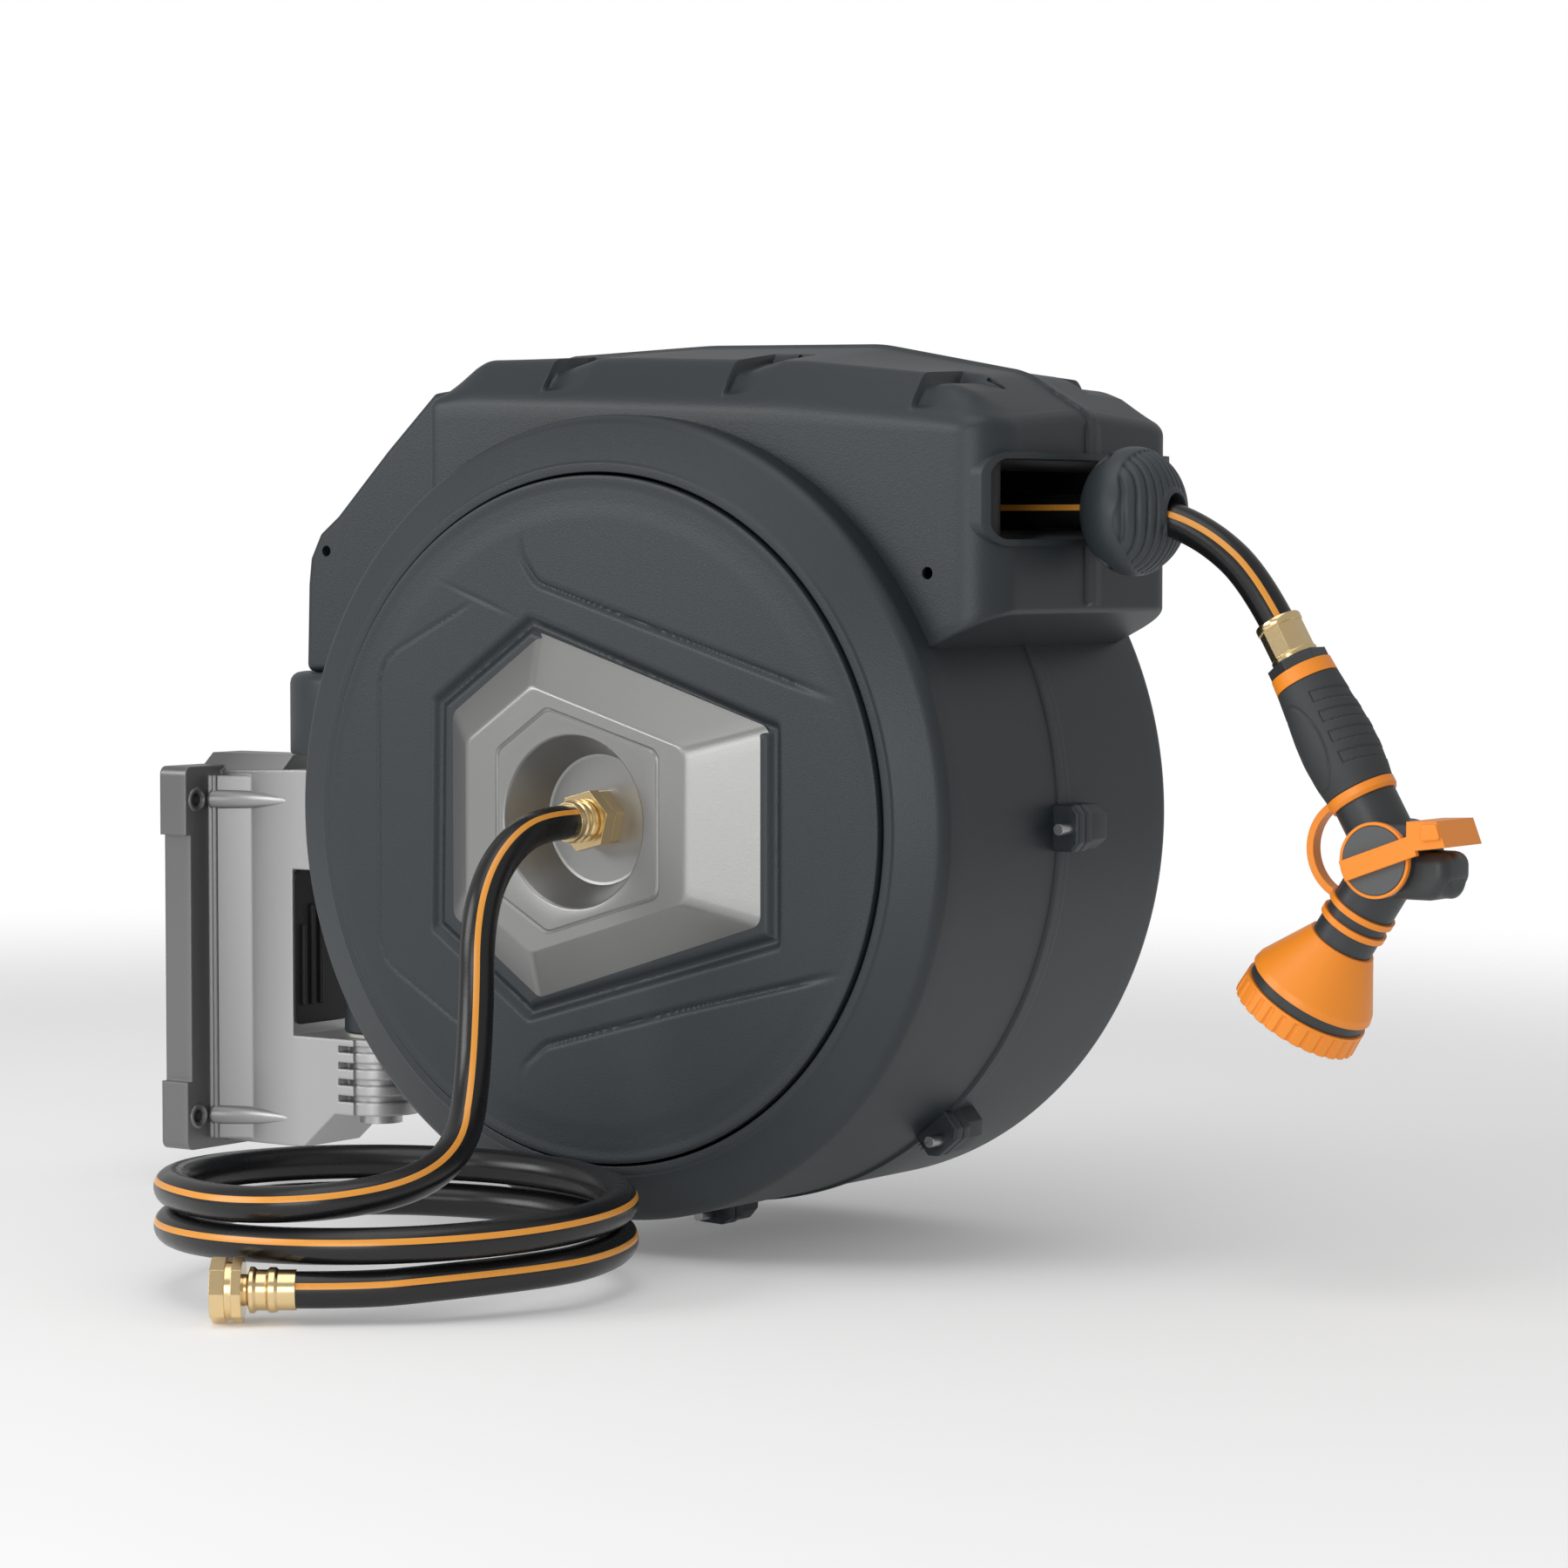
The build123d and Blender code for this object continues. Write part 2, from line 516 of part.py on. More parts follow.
with BuildPart() as shaft_seals:
    for seal_y in SEAL_YS:
        turned((SHAFT_R + SLIP, seal_y), (SHAFT_R + SEAL_T, seal_y), (SHAFT_R + SEAL_T, seal_y - SEAL_T),
               (SHAFT_R + SLIP, seal_y - SEAL_T))
save(shaft_seals.part, "shaft_seals")

RATCHET_ROOT_R = RATCHET_R - 9
with BuildPart() as ratchet_ring:
    teeth = []
    step = 360 / RATCHET_TEETH
    for k in range(RATCHET_TEETH):
        teeth.append((RATCHET_R * cos(radians(k * step)), RATCHET_R * sin(radians(k * step))))
        root = k * step + 3
        teeth.append((RATCHET_ROOT_R * cos(radians(root)), RATCHET_ROOT_R * sin(radians(root))))
    extrude(outline(side(NEAR_FACE), teeth), amount=RATCHET_T)
    extrude(disc(side(NEAR_FACE + 1), RATCHET_R - 22), amount=RATCHET_T + 2, mode=Mode.SUBTRACT)
save(ratchet_ring.part, "ratchet_ring")

with BuildPart() as pawl_post:
    with BuildSketch(side(-SIDE_INNER_Y)) as post:
        with Locations(PAWL_AT):
            Circle(POST_R)
    extrude(post.sketch, amount=-(SIDE_INNER_Y + NEAR_FACE - RUN))
save(pawl_post.part, "pawl_post")

PAWL_Y = NEAR_FACE - 0.6
PAWL_ARM = [(-66, 60), (-66, 34), (-61, 24.5), (-57.2, 26.3), (-59.5, 33), (-55.5, 56)]
with BuildPart() as pawl:
    with BuildSketch(side(PAWL_Y)) as pawl_shape:
        with BuildLine():
            Polyline(*PAWL_ARM, close=True)
        make_face()
        with Locations(PAWL_AT):
            Circle(POST_R + 5)
            Circle(POST_R + SLIP, mode=Mode.SUBTRACT)
    extrude(pawl_shape.sketch, amount=RATCHET_T - 1)
save(pawl.part, "pawl")

WIRE_R = 0.9
with BuildPart() as pawl_spring:
    for turn in range(4):
        with BuildSketch(side(PAWL_Y - RATCHET_T - 0.4 - turn * 2 * WIRE_R)) as coil_turn:
            with Locations(PAWL_AT):
                Circle(POST_R + 2 * WIRE_R + SLIP)
                Circle(POST_R + SLIP, mode=Mode.SUBTRACT)
        extrude(coil_turn.sketch, amount=2 * WIRE_R - 0.2)
save(pawl_spring.part, "pawl_spring")

# ---------------------------------------------------------------- rewind spring, inside the drum
ARBOR_R = 20.0
SPRING_CUP_Y = (12.0, 82.0)
CUP_R = BARREL_OUT_R - BARREL_WALL - SLIP

with BuildPart() as far_axle:
    turned((0, 2), (AXLE_R, 2), (AXLE_R, CARRIER_Y), (40, CARRIER_Y), (40, SIDE_INNER_Y),
           (AXLE_R, SIDE_INNER_Y),
           (AXLE_R, COVER_Y - COVER_FACE_T - RUN), (0, COVER_Y - COVER_FACE_T - RUN))
save(far_axle.part, "far_axle")

with BuildPart() as spring_arbor:
    turned((AXLE_R, SPRING_CUP_Y[0] + 4), (ARBOR_R, SPRING_CUP_Y[0] + 4), (ARBOR_R, SPRING_CUP_Y[1] - 4),
           (AXLE_R, SPRING_CUP_Y[1] - 4))
save(spring_arbor.part, "spring_arbor")

with BuildPart() as spring_cup:
    turned((AXLE_R + 4, SPRING_CUP_Y[0]), (CUP_R, SPRING_CUP_Y[0]), (CUP_R, SPRING_CUP_Y[1]),
           (CUP_R - 2, SPRING_CUP_Y[1]), (CUP_R - 2, SPRING_CUP_Y[0] + 2), (AXLE_R + 4, SPRING_CUP_Y[0] + 2))
save(spring_cup.part, "spring_cup")

with BuildPart() as spring_lid:
    turned((AXLE_R + 4, SPRING_CUP_Y[1]), (CUP_R, SPRING_CUP_Y[1]), (CUP_R, SPRING_CUP_Y[1] + 2),
           (AXLE_R + 4, SPRING_CUP_Y[1] + 2))
save(spring_lid.part, "spring_lid")

SPRING_IN_R = ARBOR_R + SPRING_STRIP / 2 + 0.4
SPRING_OUT_R = CUP_R - 2 - SPRING_STRIP / 2 - SLIP
with BuildPart() as main_spring:
    with BuildSketch(side(SPRING_CUP_Y[0] + 5)) as strip:
        with BuildLine():
            # half circles, each a little larger than the last, make a flat spiral
            growth = (SPRING_OUT_R - SPRING_IN_R) / (2 * SPRING_TURNS)
            start_x = -SPRING_IN_R
            for half_turn in range(2 * SPRING_TURNS):
                arc_r = SPRING_IN_R + growth * (half_turn + 0.5)
                hand = 1 if half_turn % 2 == 0 else -1
                end_x = start_x + hand * 2 * arc_r
                ThreePointArc((start_x, 0), ((start_x + end_x) / 2, hand * arc_r), (end_x, 0))
                start_x = end_x
        trace(line_width=SPRING_STRIP)
    extrude(strip.sketch, amount=-(SPRING_CUP_Y[1] - SPRING_CUP_Y[0] - 10))
save(main_spring.part, "main_spring")

# ---------------------------------------------------------------- mouth and its rollers
ROLLER_X = 206.0
LOWER_ROLLER_Z = HOSE_LINE - HOSE_R - ROLLER_R - 0.5
UPPER_ROLLER_Z = MOUTH_MID_Z + MOUTH_HALF_H + 1.7
SIDE_ROLLER_X = 228.0
SIDE_ROLLER_Y = 80.0
SIDE_ROLLER_R = 6.0
SIDE_ROLLER_GAP = 1.0       # the side rollers stop short of the mouth's rounded corners
DUCT_BACK = 219.0
CHEEK_Y = (88.0, 91.0)
MOUTH_FIT = 0.1


def mouth_ring(grow, x, length, mode=Mode.ADD):
    """The mouth's rounded rectangle, grown, as a prism forwards from x."""
    with BuildSketch(section(x)) as ring:
        with Locations((0, MOUTH_MID_Z)):
            RectangleRounded(2 * (MOUTH_HALF_W + grow), 2 * (MOUTH_HALF_H + grow), MOUTH_CORNER_R + grow)
    extrude(ring.sketch, amount=length, mode=mode)


with BuildPart() as mouth_frame:
    mouth_ring(BEZEL_LIP - MOUTH_FIT, DUCT_BACK, HOOD_FRONT + BEZEL_OUT - DUCT_BACK)
    with BuildSketch(plan(0)) as bezel_plan:
        with Locations((0, 0)):
            Rectangle(2 * (HOOD_FRONT + BEZEL_OUT), 2 * (HOOD_HALF_W + BEZEL_OUT))
        fillet(bezel_plan.vertices(), HOOD_CORNER_R + BEZEL_OUT)
    extrude(bezel_plan.sketch, amount=400, mode=Mode.INTERSECT)
    for hand in (-1, 1):
        cheek = [(ROLLER_X - 9, hand * CHEEK_Y[0]), (ROLLER_X - 9, hand * CHEEK_Y[1]),
                 (DUCT_BACK + 8, hand * CHEEK_Y[1]), (DUCT_BACK + 8, hand * CHEEK_Y[0])]
        extrude(outline(plan(LOWER_ROLLER_Z - 7), cheek), amount=UPPER_ROLLER_Z - LOWER_ROLLER_Z + 14)
    mouth_ring(0, DUCT_BACK - 1, 60, mode=Mode.SUBTRACT)
    with BuildSketch(side(-CHEEK_Y[1] - 1)) as pin_holes:
        with Locations((ROLLER_X, LOWER_ROLLER_Z), (ROLLER_X, UPPER_ROLLER_Z)):
            Circle(ROLLER_PIN_R)
    extrude(pin_holes.sketch, amount=-2 * CHEEK_Y[1] - 2, mode=Mode.SUBTRACT)
    with BuildSketch(plan(MOUTH_MID_Z - MOUTH_HALF_H - BEZEL_LIP - 1)) as side_pin_holes:
        with Locations((SIDE_ROLLER_X, -SIDE_ROLLER_Y), (SIDE_ROLLER_X, SIDE_ROLLER_Y)):
            Circle(ROLLER_PIN_R)
    extrude(side_pin_holes.sketch, amount=2 * (MOUTH_HALF_H + BEZEL_LIP) + 2, mode=Mode.SUBTRACT)
save(mouth_frame.part, "mouth_frame")

with BuildPart() as roller_pins:
    with BuildSketch(side(-CHEEK_Y[1])) as cross_pins:
        with Locations((ROLLER_X, LOWER_ROLLER_Z), (ROLLER_X, UPPER_ROLLER_Z)):
            Circle(ROLLER_PIN_R - SLIP)
    extrude(cross_pins.sketch, amount=-2 * CHEEK_Y[1])
    with BuildSketch(plan(MOUTH_MID_Z - MOUTH_HALF_H - BEZEL_LIP + MOUTH_FIT)) as upright_pins:
        with Locations((SIDE_ROLLER_X, -SIDE_ROLLER_Y), (SIDE_ROLLER_X, SIDE_ROLLER_Y)):
            Circle(ROLLER_PIN_R - SLIP)
    extrude(upright_pins.sketch, amount=2 * (MOUTH_HALF_H + BEZEL_LIP - MOUTH_FIT))
save(roller_pins.part, "roller_pins")

for label, roller_z in (("roller_lower", LOWER_ROLLER_Z), ("roller_upper", UPPER_ROLLER_Z)):
    with BuildPart() as roller:
        with BuildSketch(side(-CHEEK_Y[0] + RUN)) as roller_end:
            with Locations((ROLLER_X, roller_z)):
                Circle(ROLLER_R)
                Circle(ROLLER_PIN_R + SLIP, mode=Mode.SUBTRACT)
        extrude(roller_end.sketch, amount=-2 * (CHEEK_Y[0] - RUN))
    save(roller.part, label)

for label, roller_y in (("roller_near", -SIDE_ROLLER_Y), ("roller_far", SIDE_ROLLER_Y)):
    with BuildPart() as roller:
        with BuildSketch(plan(MOUTH_MID_Z - MOUTH_HALF_H + SIDE_ROLLER_GAP)) as roller_end:
            with Locations((SIDE_ROLLER_X, roller_y)):
                Circle(SIDE_ROLLER_R)
                Circle(ROLLER_PIN_R + SLIP, mode=Mode.SUBTRACT)
        extrude(roller_end.sketch, amount=2 * (MOUTH_HALF_H - SIDE_ROLLER_GAP))
    save(roller.part, label)


# ---------------------------------------------------------------- hose, as cords
def at_axis(x, y, z):
    """A point measured from the middle of the drum's axis."""
    return Vector(AXIS_X + x, y, AXIS_HEIGHT + z)


def arc_radii(points):
    """The largest arc that each corner's two runs allow."""
    radii = []
    for before, corner, after in zip(points, points[1:], points[2:]):
        run_in = corner - before
        run_out = after - corner
        turn = radians(run_in.get_angle(run_out))
        radii.append(0.45 * min(run_in.length, run_out.length) / tan(turn / 2))
    return radii


def hose(label, points):
    """A tube along straight runs joined by tangent arcs."""
    radii = arc_radii(points)
    print(label, "arc radii", [round(r) for r in radii])
    with BuildPart() as tube:
        with BuildLine() as route:
            FilletPolyline(*points, radius=radii)
        with BuildSketch(Plane(origin=points[0], z_dir=points[1] - points[0])) as tube_end:
            Circle(HOSE_R)
        sweep(tube_end.sketch, path=route.wires()[0])
    length = route.wires()[0].length
    ratio = tube.part.volume / (tube_end.sketch.area * length)
    print(label, "length", round(length), "volume over section times length", round(ratio, 4))
    save(tube.part, label)
    return tube.part


VALVE = at_axis(427.7, 0, -11.3)
LEAN = radians(HANDLE_LEAN)
DOWN = radians(HEAD_LEAN)
HANDLE_DIR = Vector(-sin(LEAN), 0, cos(LEAN))
HEAD_DIR = Vector(-sin(DOWN), 0, -cos(DOWN))
HOSE_END = 128.0            # where the hose stops, measured up the handle from the valve


def handle_point(distance):
    """A point on the handle's line, up from the valve."""
    return VALVE + HANDLE_DIR * distance


OUTLET_ROUTE = [at_axis(0, 0, HOSE_LINE), at_axis(281, 0, HOSE_LINE), at_axis(316.7, 0, 157),
                handle_point(HOSE_END + 37), handle_point(HOSE_END + SLIP)]
outlet_hose = hose("outlet_hose", OUTLET_ROUTE)

RISER_ROUTE = [(0, -152, 0), (0, -174, 0), (0, -198.7, -8), (1, -220.5, -25.6), (3, -234, -52), (7, -240, -94),
               (14, -252, -131), (25, -272, -157), (34, -302, -171), (35, -335, -178), (19.5, -364, -182),
               (-8.7, -383, -184.5), (-43.5, -386.7, -186)]
hose("leader_riser", [at_axis(*p) for p in RISER_ROUTE])

COIL_START = -54.9          # the coil's front, as an angle about its centre
COIL_SECTORS = 8


def coil_point(turn, radius=COIL_R):
    """A point of the coil's centre line after a number of turns, going clockwise from above."""
    angle = radians(COIL_START - 360 * turn)
    return at_axis(COIL_CENTRE[0] + radius * cos(angle), COIL_CENTRE[1] + radius * sin(angle),
                   COIL_TOP - COIL_PITCH * turn)


TAIL_DIR = Vector(cos(radians(COIL_START - 90)), sin(radians(COIL_START - 90)), 0)
TAIL_ORIGIN = coil_point(2) - Vector(0, 0, 2)
TAP_ROOM_R = 18.5
with BuildPart() as leader_coil:
    for sector in range(COIL_SECTORS):
        first = sector / COIL_SECTORS
        last = (sector + 1) / COIL_SECTORS
        high = COIL_TOP + HOSE_R - COIL_PITCH * first
        low = COIL_TOP - HOSE_R - COIL_PITCH * (last + 1)
        rim = [coil_point(t, COIL_R + HOSE_R) for t in (first, (first + last) / 2, last)]
        core = [coil_point(t, COIL_R - HOSE_R) for t in (first, (first + last) / 2, last)]
        with BuildSketch(plan(low)) as slice_of_coil:
            with BuildLine():
                outer = ThreePointArc(*[(p.X - AXIS_X, p.Y) for p in rim])
                inner = ThreePointArc(*[(p.X - AXIS_X, p.Y) for p in core])
                Line(outer @ 0, inner @ 0)
                Line(outer @ 1, inner @ 1)
            make_face()
        extrude(slice_of_coil.sketch, amount=high - low)
    # room for the tap end, which leaves beside the coil
    extrude(disc(Plane(origin=TAIL_ORIGIN + TAIL_DIR * 38, z_dir=TAIL_DIR), TAP_ROOM_R), amount=60,
            mode=Mode.SUBTRACT)
save(leader_coil.part, "leader_coil")

TAIL_HOSE = 41.0
hose("leader_tail", [coil_point(2 - 0.09), coil_point(2 - 0.035), TAIL_ORIGIN + TAIL_DIR * 6,
                     TAIL_ORIGIN + TAIL_DIR * TAIL_HOSE])
TAP_END = TAIL_ORIGIN + TAIL_DIR * TAIL_HOSE
TAP_TURNING = Plane(origin=TAP_END, x_dir=(0, 0, 1), z_dir=Vector(0, 0, 1).cross(TAIL_DIR))
TAP_AXIS = Axis(TAP_END, TAIL_DIR)
TAP_PLANE = Plane(origin=TAP_END, x_dir=(0, 0, 1), z_dir=TAIL_DIR)
FERRULE_L = 27.0
NUT_L = 16.0
NUT_R = 17.0
NUT_LIP = 4.0
TAP_BORE_R = 13.0
NECK_R = 8.0
TAP_FLANGE = FERRULE_L + NUT_LIP + RUN
TAP_LIP_R = 12.4
THREAD_START = 4.6          # the thread starts past the washer


def tap_turned(*points):
    """Revolve (radius, distance) points about the tap end of the leader into the current part."""
    revolve(outline(TAP_TURNING, points), axis=TAP_AXIS)


with BuildPart() as tap_ferrule:
    tap_turned((0, 0), (10.4, 0), (10.4, 9), (11.6, 10.5), (11.6, 13.5), (10.4, 15), (10.4, 20), (11.8, 21.5),
               (11.8, 23.5), (NECK_R, 25), (NECK_R, TAP_FLANGE), (TAP_LIP_R, TAP_FLANGE),
               (TAP_LIP_R, TAP_FLANGE + 2), (6, TAP_FLANGE + 2), (6, 3), (0, 3))
save(tap_ferrule.part, "tap_ferrule")

with BuildPart() as tap_nut:
    with BuildSketch(TAP_PLANE.offset(FERRULE_L)) as nut_section:
        RegularPolygon(NUT_R, 8)
        Circle(NECK_R + RUN, mode=Mode.SUBTRACT)
    extrude(nut_section.sketch, amount=NUT_L)
    extrude(disc(TAP_PLANE.offset(FERRULE_L + NUT_LIP), TAP_LIP_R + RUN), amount=THREAD_START,
            mode=Mode.SUBTRACT)
    extrude(disc(TAP_PLANE.offset(FERRULE_L + NUT_LIP + THREAD_START), TAP_BORE_R), amount=NUT_L,
            mode=Mode.SUBTRACT)
    # the waist between the nut's two flanges
    with BuildSketch(TAP_PLANE.offset(FERRULE_L + 5)) as waist:
        Circle(NUT_R + 5)
        Circle(NUT_R - 1.8, mode=Mode.SUBTRACT)
    extrude(waist.sketch, amount=3.5, mode=Mode.SUBTRACT)
save(tap_nut.part, "tap_nut")

with BuildPart() as tap_washer:
    extrude(disc(TAP_PLANE.offset(TAP_FLANGE + 2), TAP_LIP_R, 6), amount=2)
save(tap_washer.part, "tap_washer")

# ---------------------------------------------------------------- hose stopper
BALL_CENTRE = at_axis(BALL_X, 0, HOSE_LINE)
STOP_BOLT_AT = [(-7, -19), (-7, 19), (9, -19), (9, 19)]


def half_ball(hand):
    """One half of the flattened ball, above (1) or below (-1) the hose line."""
    with BuildPart(mode=Mode.PRIVATE) as ball:
        with BuildSketch(Plane(origin=BALL_CENTRE, x_dir=(1, 0, 0), z_dir=(0, -1, 0))) as oval:
            Ellipse(BALL_SEMI, BALL_R)
            with Locations((0, -BALL_R)):
                Rectangle(2 * BALL_R, 2 * BALL_R, mode=Mode.SUBTRACT)
        revolve(oval.sketch, axis=Axis(BALL_CENTRE, (1, 0, 0)))
        with BuildSketch(Plane(origin=BALL_CENTRE)) as cutting:
            Rectangle(3 * BALL_R, 3 * BALL_R)
        extrude(cutting.sketch, amount=hand * 2 * BALL_R, mode=Mode.INTERSECT)
        add(outlet_hose, mode=Mode.SUBTRACT)
        with BuildSketch(Plane(origin=BALL_CENTRE)) as bolt_holes:
            with Locations(*STOP_BOLT_AT):
                Circle(2)
        extrude(bolt_holes.sketch, amount=hand * 2 * BALL_R, mode=Mode.SUBTRACT)
        with BuildSketch(Plane(origin=BALL_CENTRE).offset(hand * 10)) as head_holes:
            with Locations(*STOP_BOLT_AT):
                Circle(4)
        extrude(head_holes.sketch, amount=hand * 2 * BALL_R, mode=Mode.SUBTRACT)
    return ball.part


save(half_ball(1), "stopper_upper")
save(half_ball(-1), "stopper_lower")

with BuildPart() as stopper_bolts:
    with BuildSketch(Plane(origin=BALL_CENTRE).offset(-12)) as bolt_shanks:
        with Locations(*STOP_BOLT_AT):
            Circle(2 - SLIP)
    extrude(bolt_shanks.sketch, amount=24)
    with BuildSketch(Plane(origin=BALL_CENTRE).offset(10)) as bolt_heads:
        with Locations(*STOP_BOLT_AT):
            Circle(4 - SLIP)
    extrude(bolt_heads.sketch, amount=3)
save(stopper_bolts.part, "stopper_bolts")

# ---------------------------------------------------------------- spray nozzle
HANDLE_TURNING = Plane(origin=VALVE, x_dir=(cos(LEAN), 0, sin(LEAN)), z_dir=(0, -1, 0))
HEAD_TURNING = Plane(origin=VALVE, x_dir=(-cos(DOWN), 0, sin(DOWN)), z_dir=(0, -1, 0))
HEAD_PLANE = Plane(origin=VALVE, x_dir=(0, 1, 0), z_dir=HEAD_DIR)
HANDLE_PLANE = Plane(origin=VALVE, x_dir=(0, 1, 0), z_dir=HANDLE_DIR)


def valve_plane(y):
    """A plane square to the valve's axis, this far along Y from its middle."""
    return Plane(origin=VALVE + Vector(0, y, 0), x_dir=(1, 0, 0), z_dir=(0, -1, 0))

FLOW_R = 7.0
CORE_R = 13.0
NECK_OUT_R = 17.0
COUPLING_END = 141.8
GRIP_TOP = 112.0
GRIP_LOW = 40.0
BAND_LOW = 34.0
BARREL_V_R = 20.0
BARREL_V_Y = 19.0
HEAD_START = 54.0


def handle_turned(points, mode=Mode.ADD):
    """Revolve (radius, distance up the handle) points about the handle into the current part."""
    revolve(outline(HANDLE_TURNING, points), axis=Axis(VALVE, HANDLE_DIR), mode=mode)


def head_turned(points, mode=Mode.ADD):
    """Revolve (radius, distance down the head) points about the head into the current part."""
    revolve(outline(HEAD_TURNING, points), axis=Axis(VALVE, HEAD_DIR), mode=mode)


with BuildPart() as outlet_coupling:
    handle_turned([(FLOW_R, GRIP_TOP + 6), (12.8, GRIP_TOP + 6), (12.8, GRIP_TOP + 9), (11.6, GRIP_TOP + 10),
                   (11.3, COUPLING_END - 4), (12.2, COUPLING_END - 3), (12.2, COUPLING_END),
                   (HOSE_R + SLIP, COUPLING_END), (HOSE_R + SLIP, HOSE_END), (FLOW_R, HOSE_END)])
save(outlet_coupling.part, "outlet_coupling")

with BuildPart() as nozzle_collar:
    with BuildSketch(HANDLE_PLANE.offset(GRIP_TOP)) as collar_section:
        RegularPolygon(16.5, 6)
        Circle(FLOW_R, mode=Mode.SUBTRACT)
    extrude(collar_section.sketch, amount=6)
save(nozzle_collar.part, "nozzle_collar")

with BuildPart() as nozzle_grip:
    handle_turned([(CORE_R, GRIP_LOW), (18.5, GRIP_LOW), (20.2, 50), (21, 64), (20.4, 76), (18.8, 90),
                   (17.4, GRIP_TOP - 8), (CORE_R, GRIP_TOP - 8)])
save(nozzle_grip.part, "nozzle_grip")

with BuildPart() as grip_bands:
    handle_turned([(CORE_R, GRIP_TOP - 8), (17.5, GRIP_TOP - 8), (17, GRIP_TOP), (CORE_R, GRIP_TOP)])
    handle_turned([(CORE_R, BAND_LOW), (18, BAND_LOW), (19, BAND_LOW + 2), (19, GRIP_LOW), (CORE_R, GRIP_LOW)])
save(grip_bands.part, "grip_bands")

BALL_VALVE_R = 10.0
STEM_R = 4.0
HORN_Z = -19.0
HORN_R = 12.0
HORN_END = 465.5
with BuildPart() as nozzle_body:
    handle_turned([(0, 0), (NECK_OUT_R, 0), (NECK_OUT_R, BAND_LOW), (CORE_R, BAND_LOW), (CORE_R, GRIP_TOP),
                   (0, GRIP_TOP)])
    head_turned([(0, 0), (NECK_OUT_R, 0), (NECK_OUT_R, HEAD_START), (CORE_R, HEAD_START), (CORE_R, 80), (9, 80),
                 (9, 98), (0, 98)])
    with BuildSketch(valve_plane(BARREL_V_Y)) as barrel_v:
        Circle(BARREL_V_R)
    extrude(barrel_v.sketch, amount=2 * BARREL_V_Y)
    with BuildSketch(Plane(origin=at_axis(427.7, 0, HORN_Z), x_dir=(0, 1, 0), z_dir=(1, 0, 0))) as horn:
        Circle(HORN_R)
    extrude(horn.sketch, amount=HORN_END - 427.7)
    fillet(nozzle_body.faces().sort_by(Axis.X)[-1].edges(), 4)
    handle_turned([(0, 0), (FLOW_R, 0), (FLOW_R, GRIP_TOP + 1), (0, GRIP_TOP + 1)], mode=Mode.SUBTRACT)
    head_turned([(0, 0), (FLOW_R, 0), (FLOW_R, 99), (0, 99)], mode=Mode.SUBTRACT)
    with Locations(VALVE):
        Sphere(BALL_VALVE_R + 0.1, mode=Mode.SUBTRACT)
    with BuildSketch(valve_plane(0)) as stem_hole:
        Circle(STEM_R + 0.08)
    extrude(stem_hole.sketch, amount=BARREL_V_Y + 1, mode=Mode.SUBTRACT)
save(nozzle_body.part, "nozzle_body")

with BuildPart() as valve_ball:
    with Locations(VALVE):
        Sphere(BALL_VALVE_R)
    with BuildSketch(valve_plane(0)) as stem:
        Circle(STEM_R)
    extrude(stem.sketch, amount=BARREL_V_Y + RUN)
    handle_turned([(0, 0), (5, 0), (5, 20), (0, 20)], mode=Mode.SUBTRACT)
    head_turned([(0, 0), (5, 0), (5, 20), (0, 20)], mode=Mode.SUBTRACT)
save(valve_ball.part, "valve_ball")

DISC_R = 18.0
DISC_Y = BARREL_V_Y + RUN
with BuildPart() as lever_disc:
    with BuildSketch(valve_plane(-DISC_Y)) as dial_face:
        Circle(DISC_R)
    extrude(dial_face.sketch, amount=3)
save(lever_disc.part, "lever_disc")

with BuildPart() as valve_ring:
    with BuildSketch(valve_plane(-BARREL_V_Y)) as rim_ring:
        Circle(BARREL_V_R)
        Circle(DISC_R + RUN, mode=Mode.SUBTRACT)
    extrude(rim_ring.sketch, amount=3)
save(valve_ring.part, "valve_ring")

STRAP_ANGLE = 20.0
PAD = [(20.3, 5.5), (42.7, 8.4), (37.6, 21.8), (20.3, 21.1)]
with BuildPart() as flow_lever:
    strap_plane = valve_plane(-DISC_Y - 3)
    with BuildSketch(strap_plane) as strap:
        with Locations(Location((0, 0), STRAP_ANGLE)):
            with Locations((4, 0)):
                Rectangle(44, 11)
    extrude(strap.sketch, amount=3)
    extrude(outline(strap_plane, PAD), amount=3)
    extrude(outline(strap_plane, PAD), amount=-2 * DISC_Y)
save(flow_lever.part, "flow_lever")

NECK_RING_T = 3.5
with BuildPart() as hang_loop:
    loop_plane = Plane(origin=at_axis(0, 4, 0), x_dir=(1, 0, 0), z_dir=(0, -1, 0))
    with BuildSketch(loop_plane) as loop_strip:
        with BuildLine():
            ThreePointArc((392, 14.5), (380.5, -9), (393.5, -30))
        trace(line_width=4)
    extrude(loop_strip.sketch, amount=8)
    for ring_at in (31, 40):
        head_turned([(NECK_OUT_R, ring_at), (NECK_OUT_R + 1.6, ring_at),
                     (NECK_OUT_R + 1.6, ring_at + NECK_RING_T),
                     (NECK_OUT_R, ring_at + NECK_RING_T)])
    for neighbour in (nozzle_body, grip_bands, nozzle_grip):
        add(neighbour.part, mode=Mode.SUBTRACT)
save(hang_loop.part, "hang_loop")

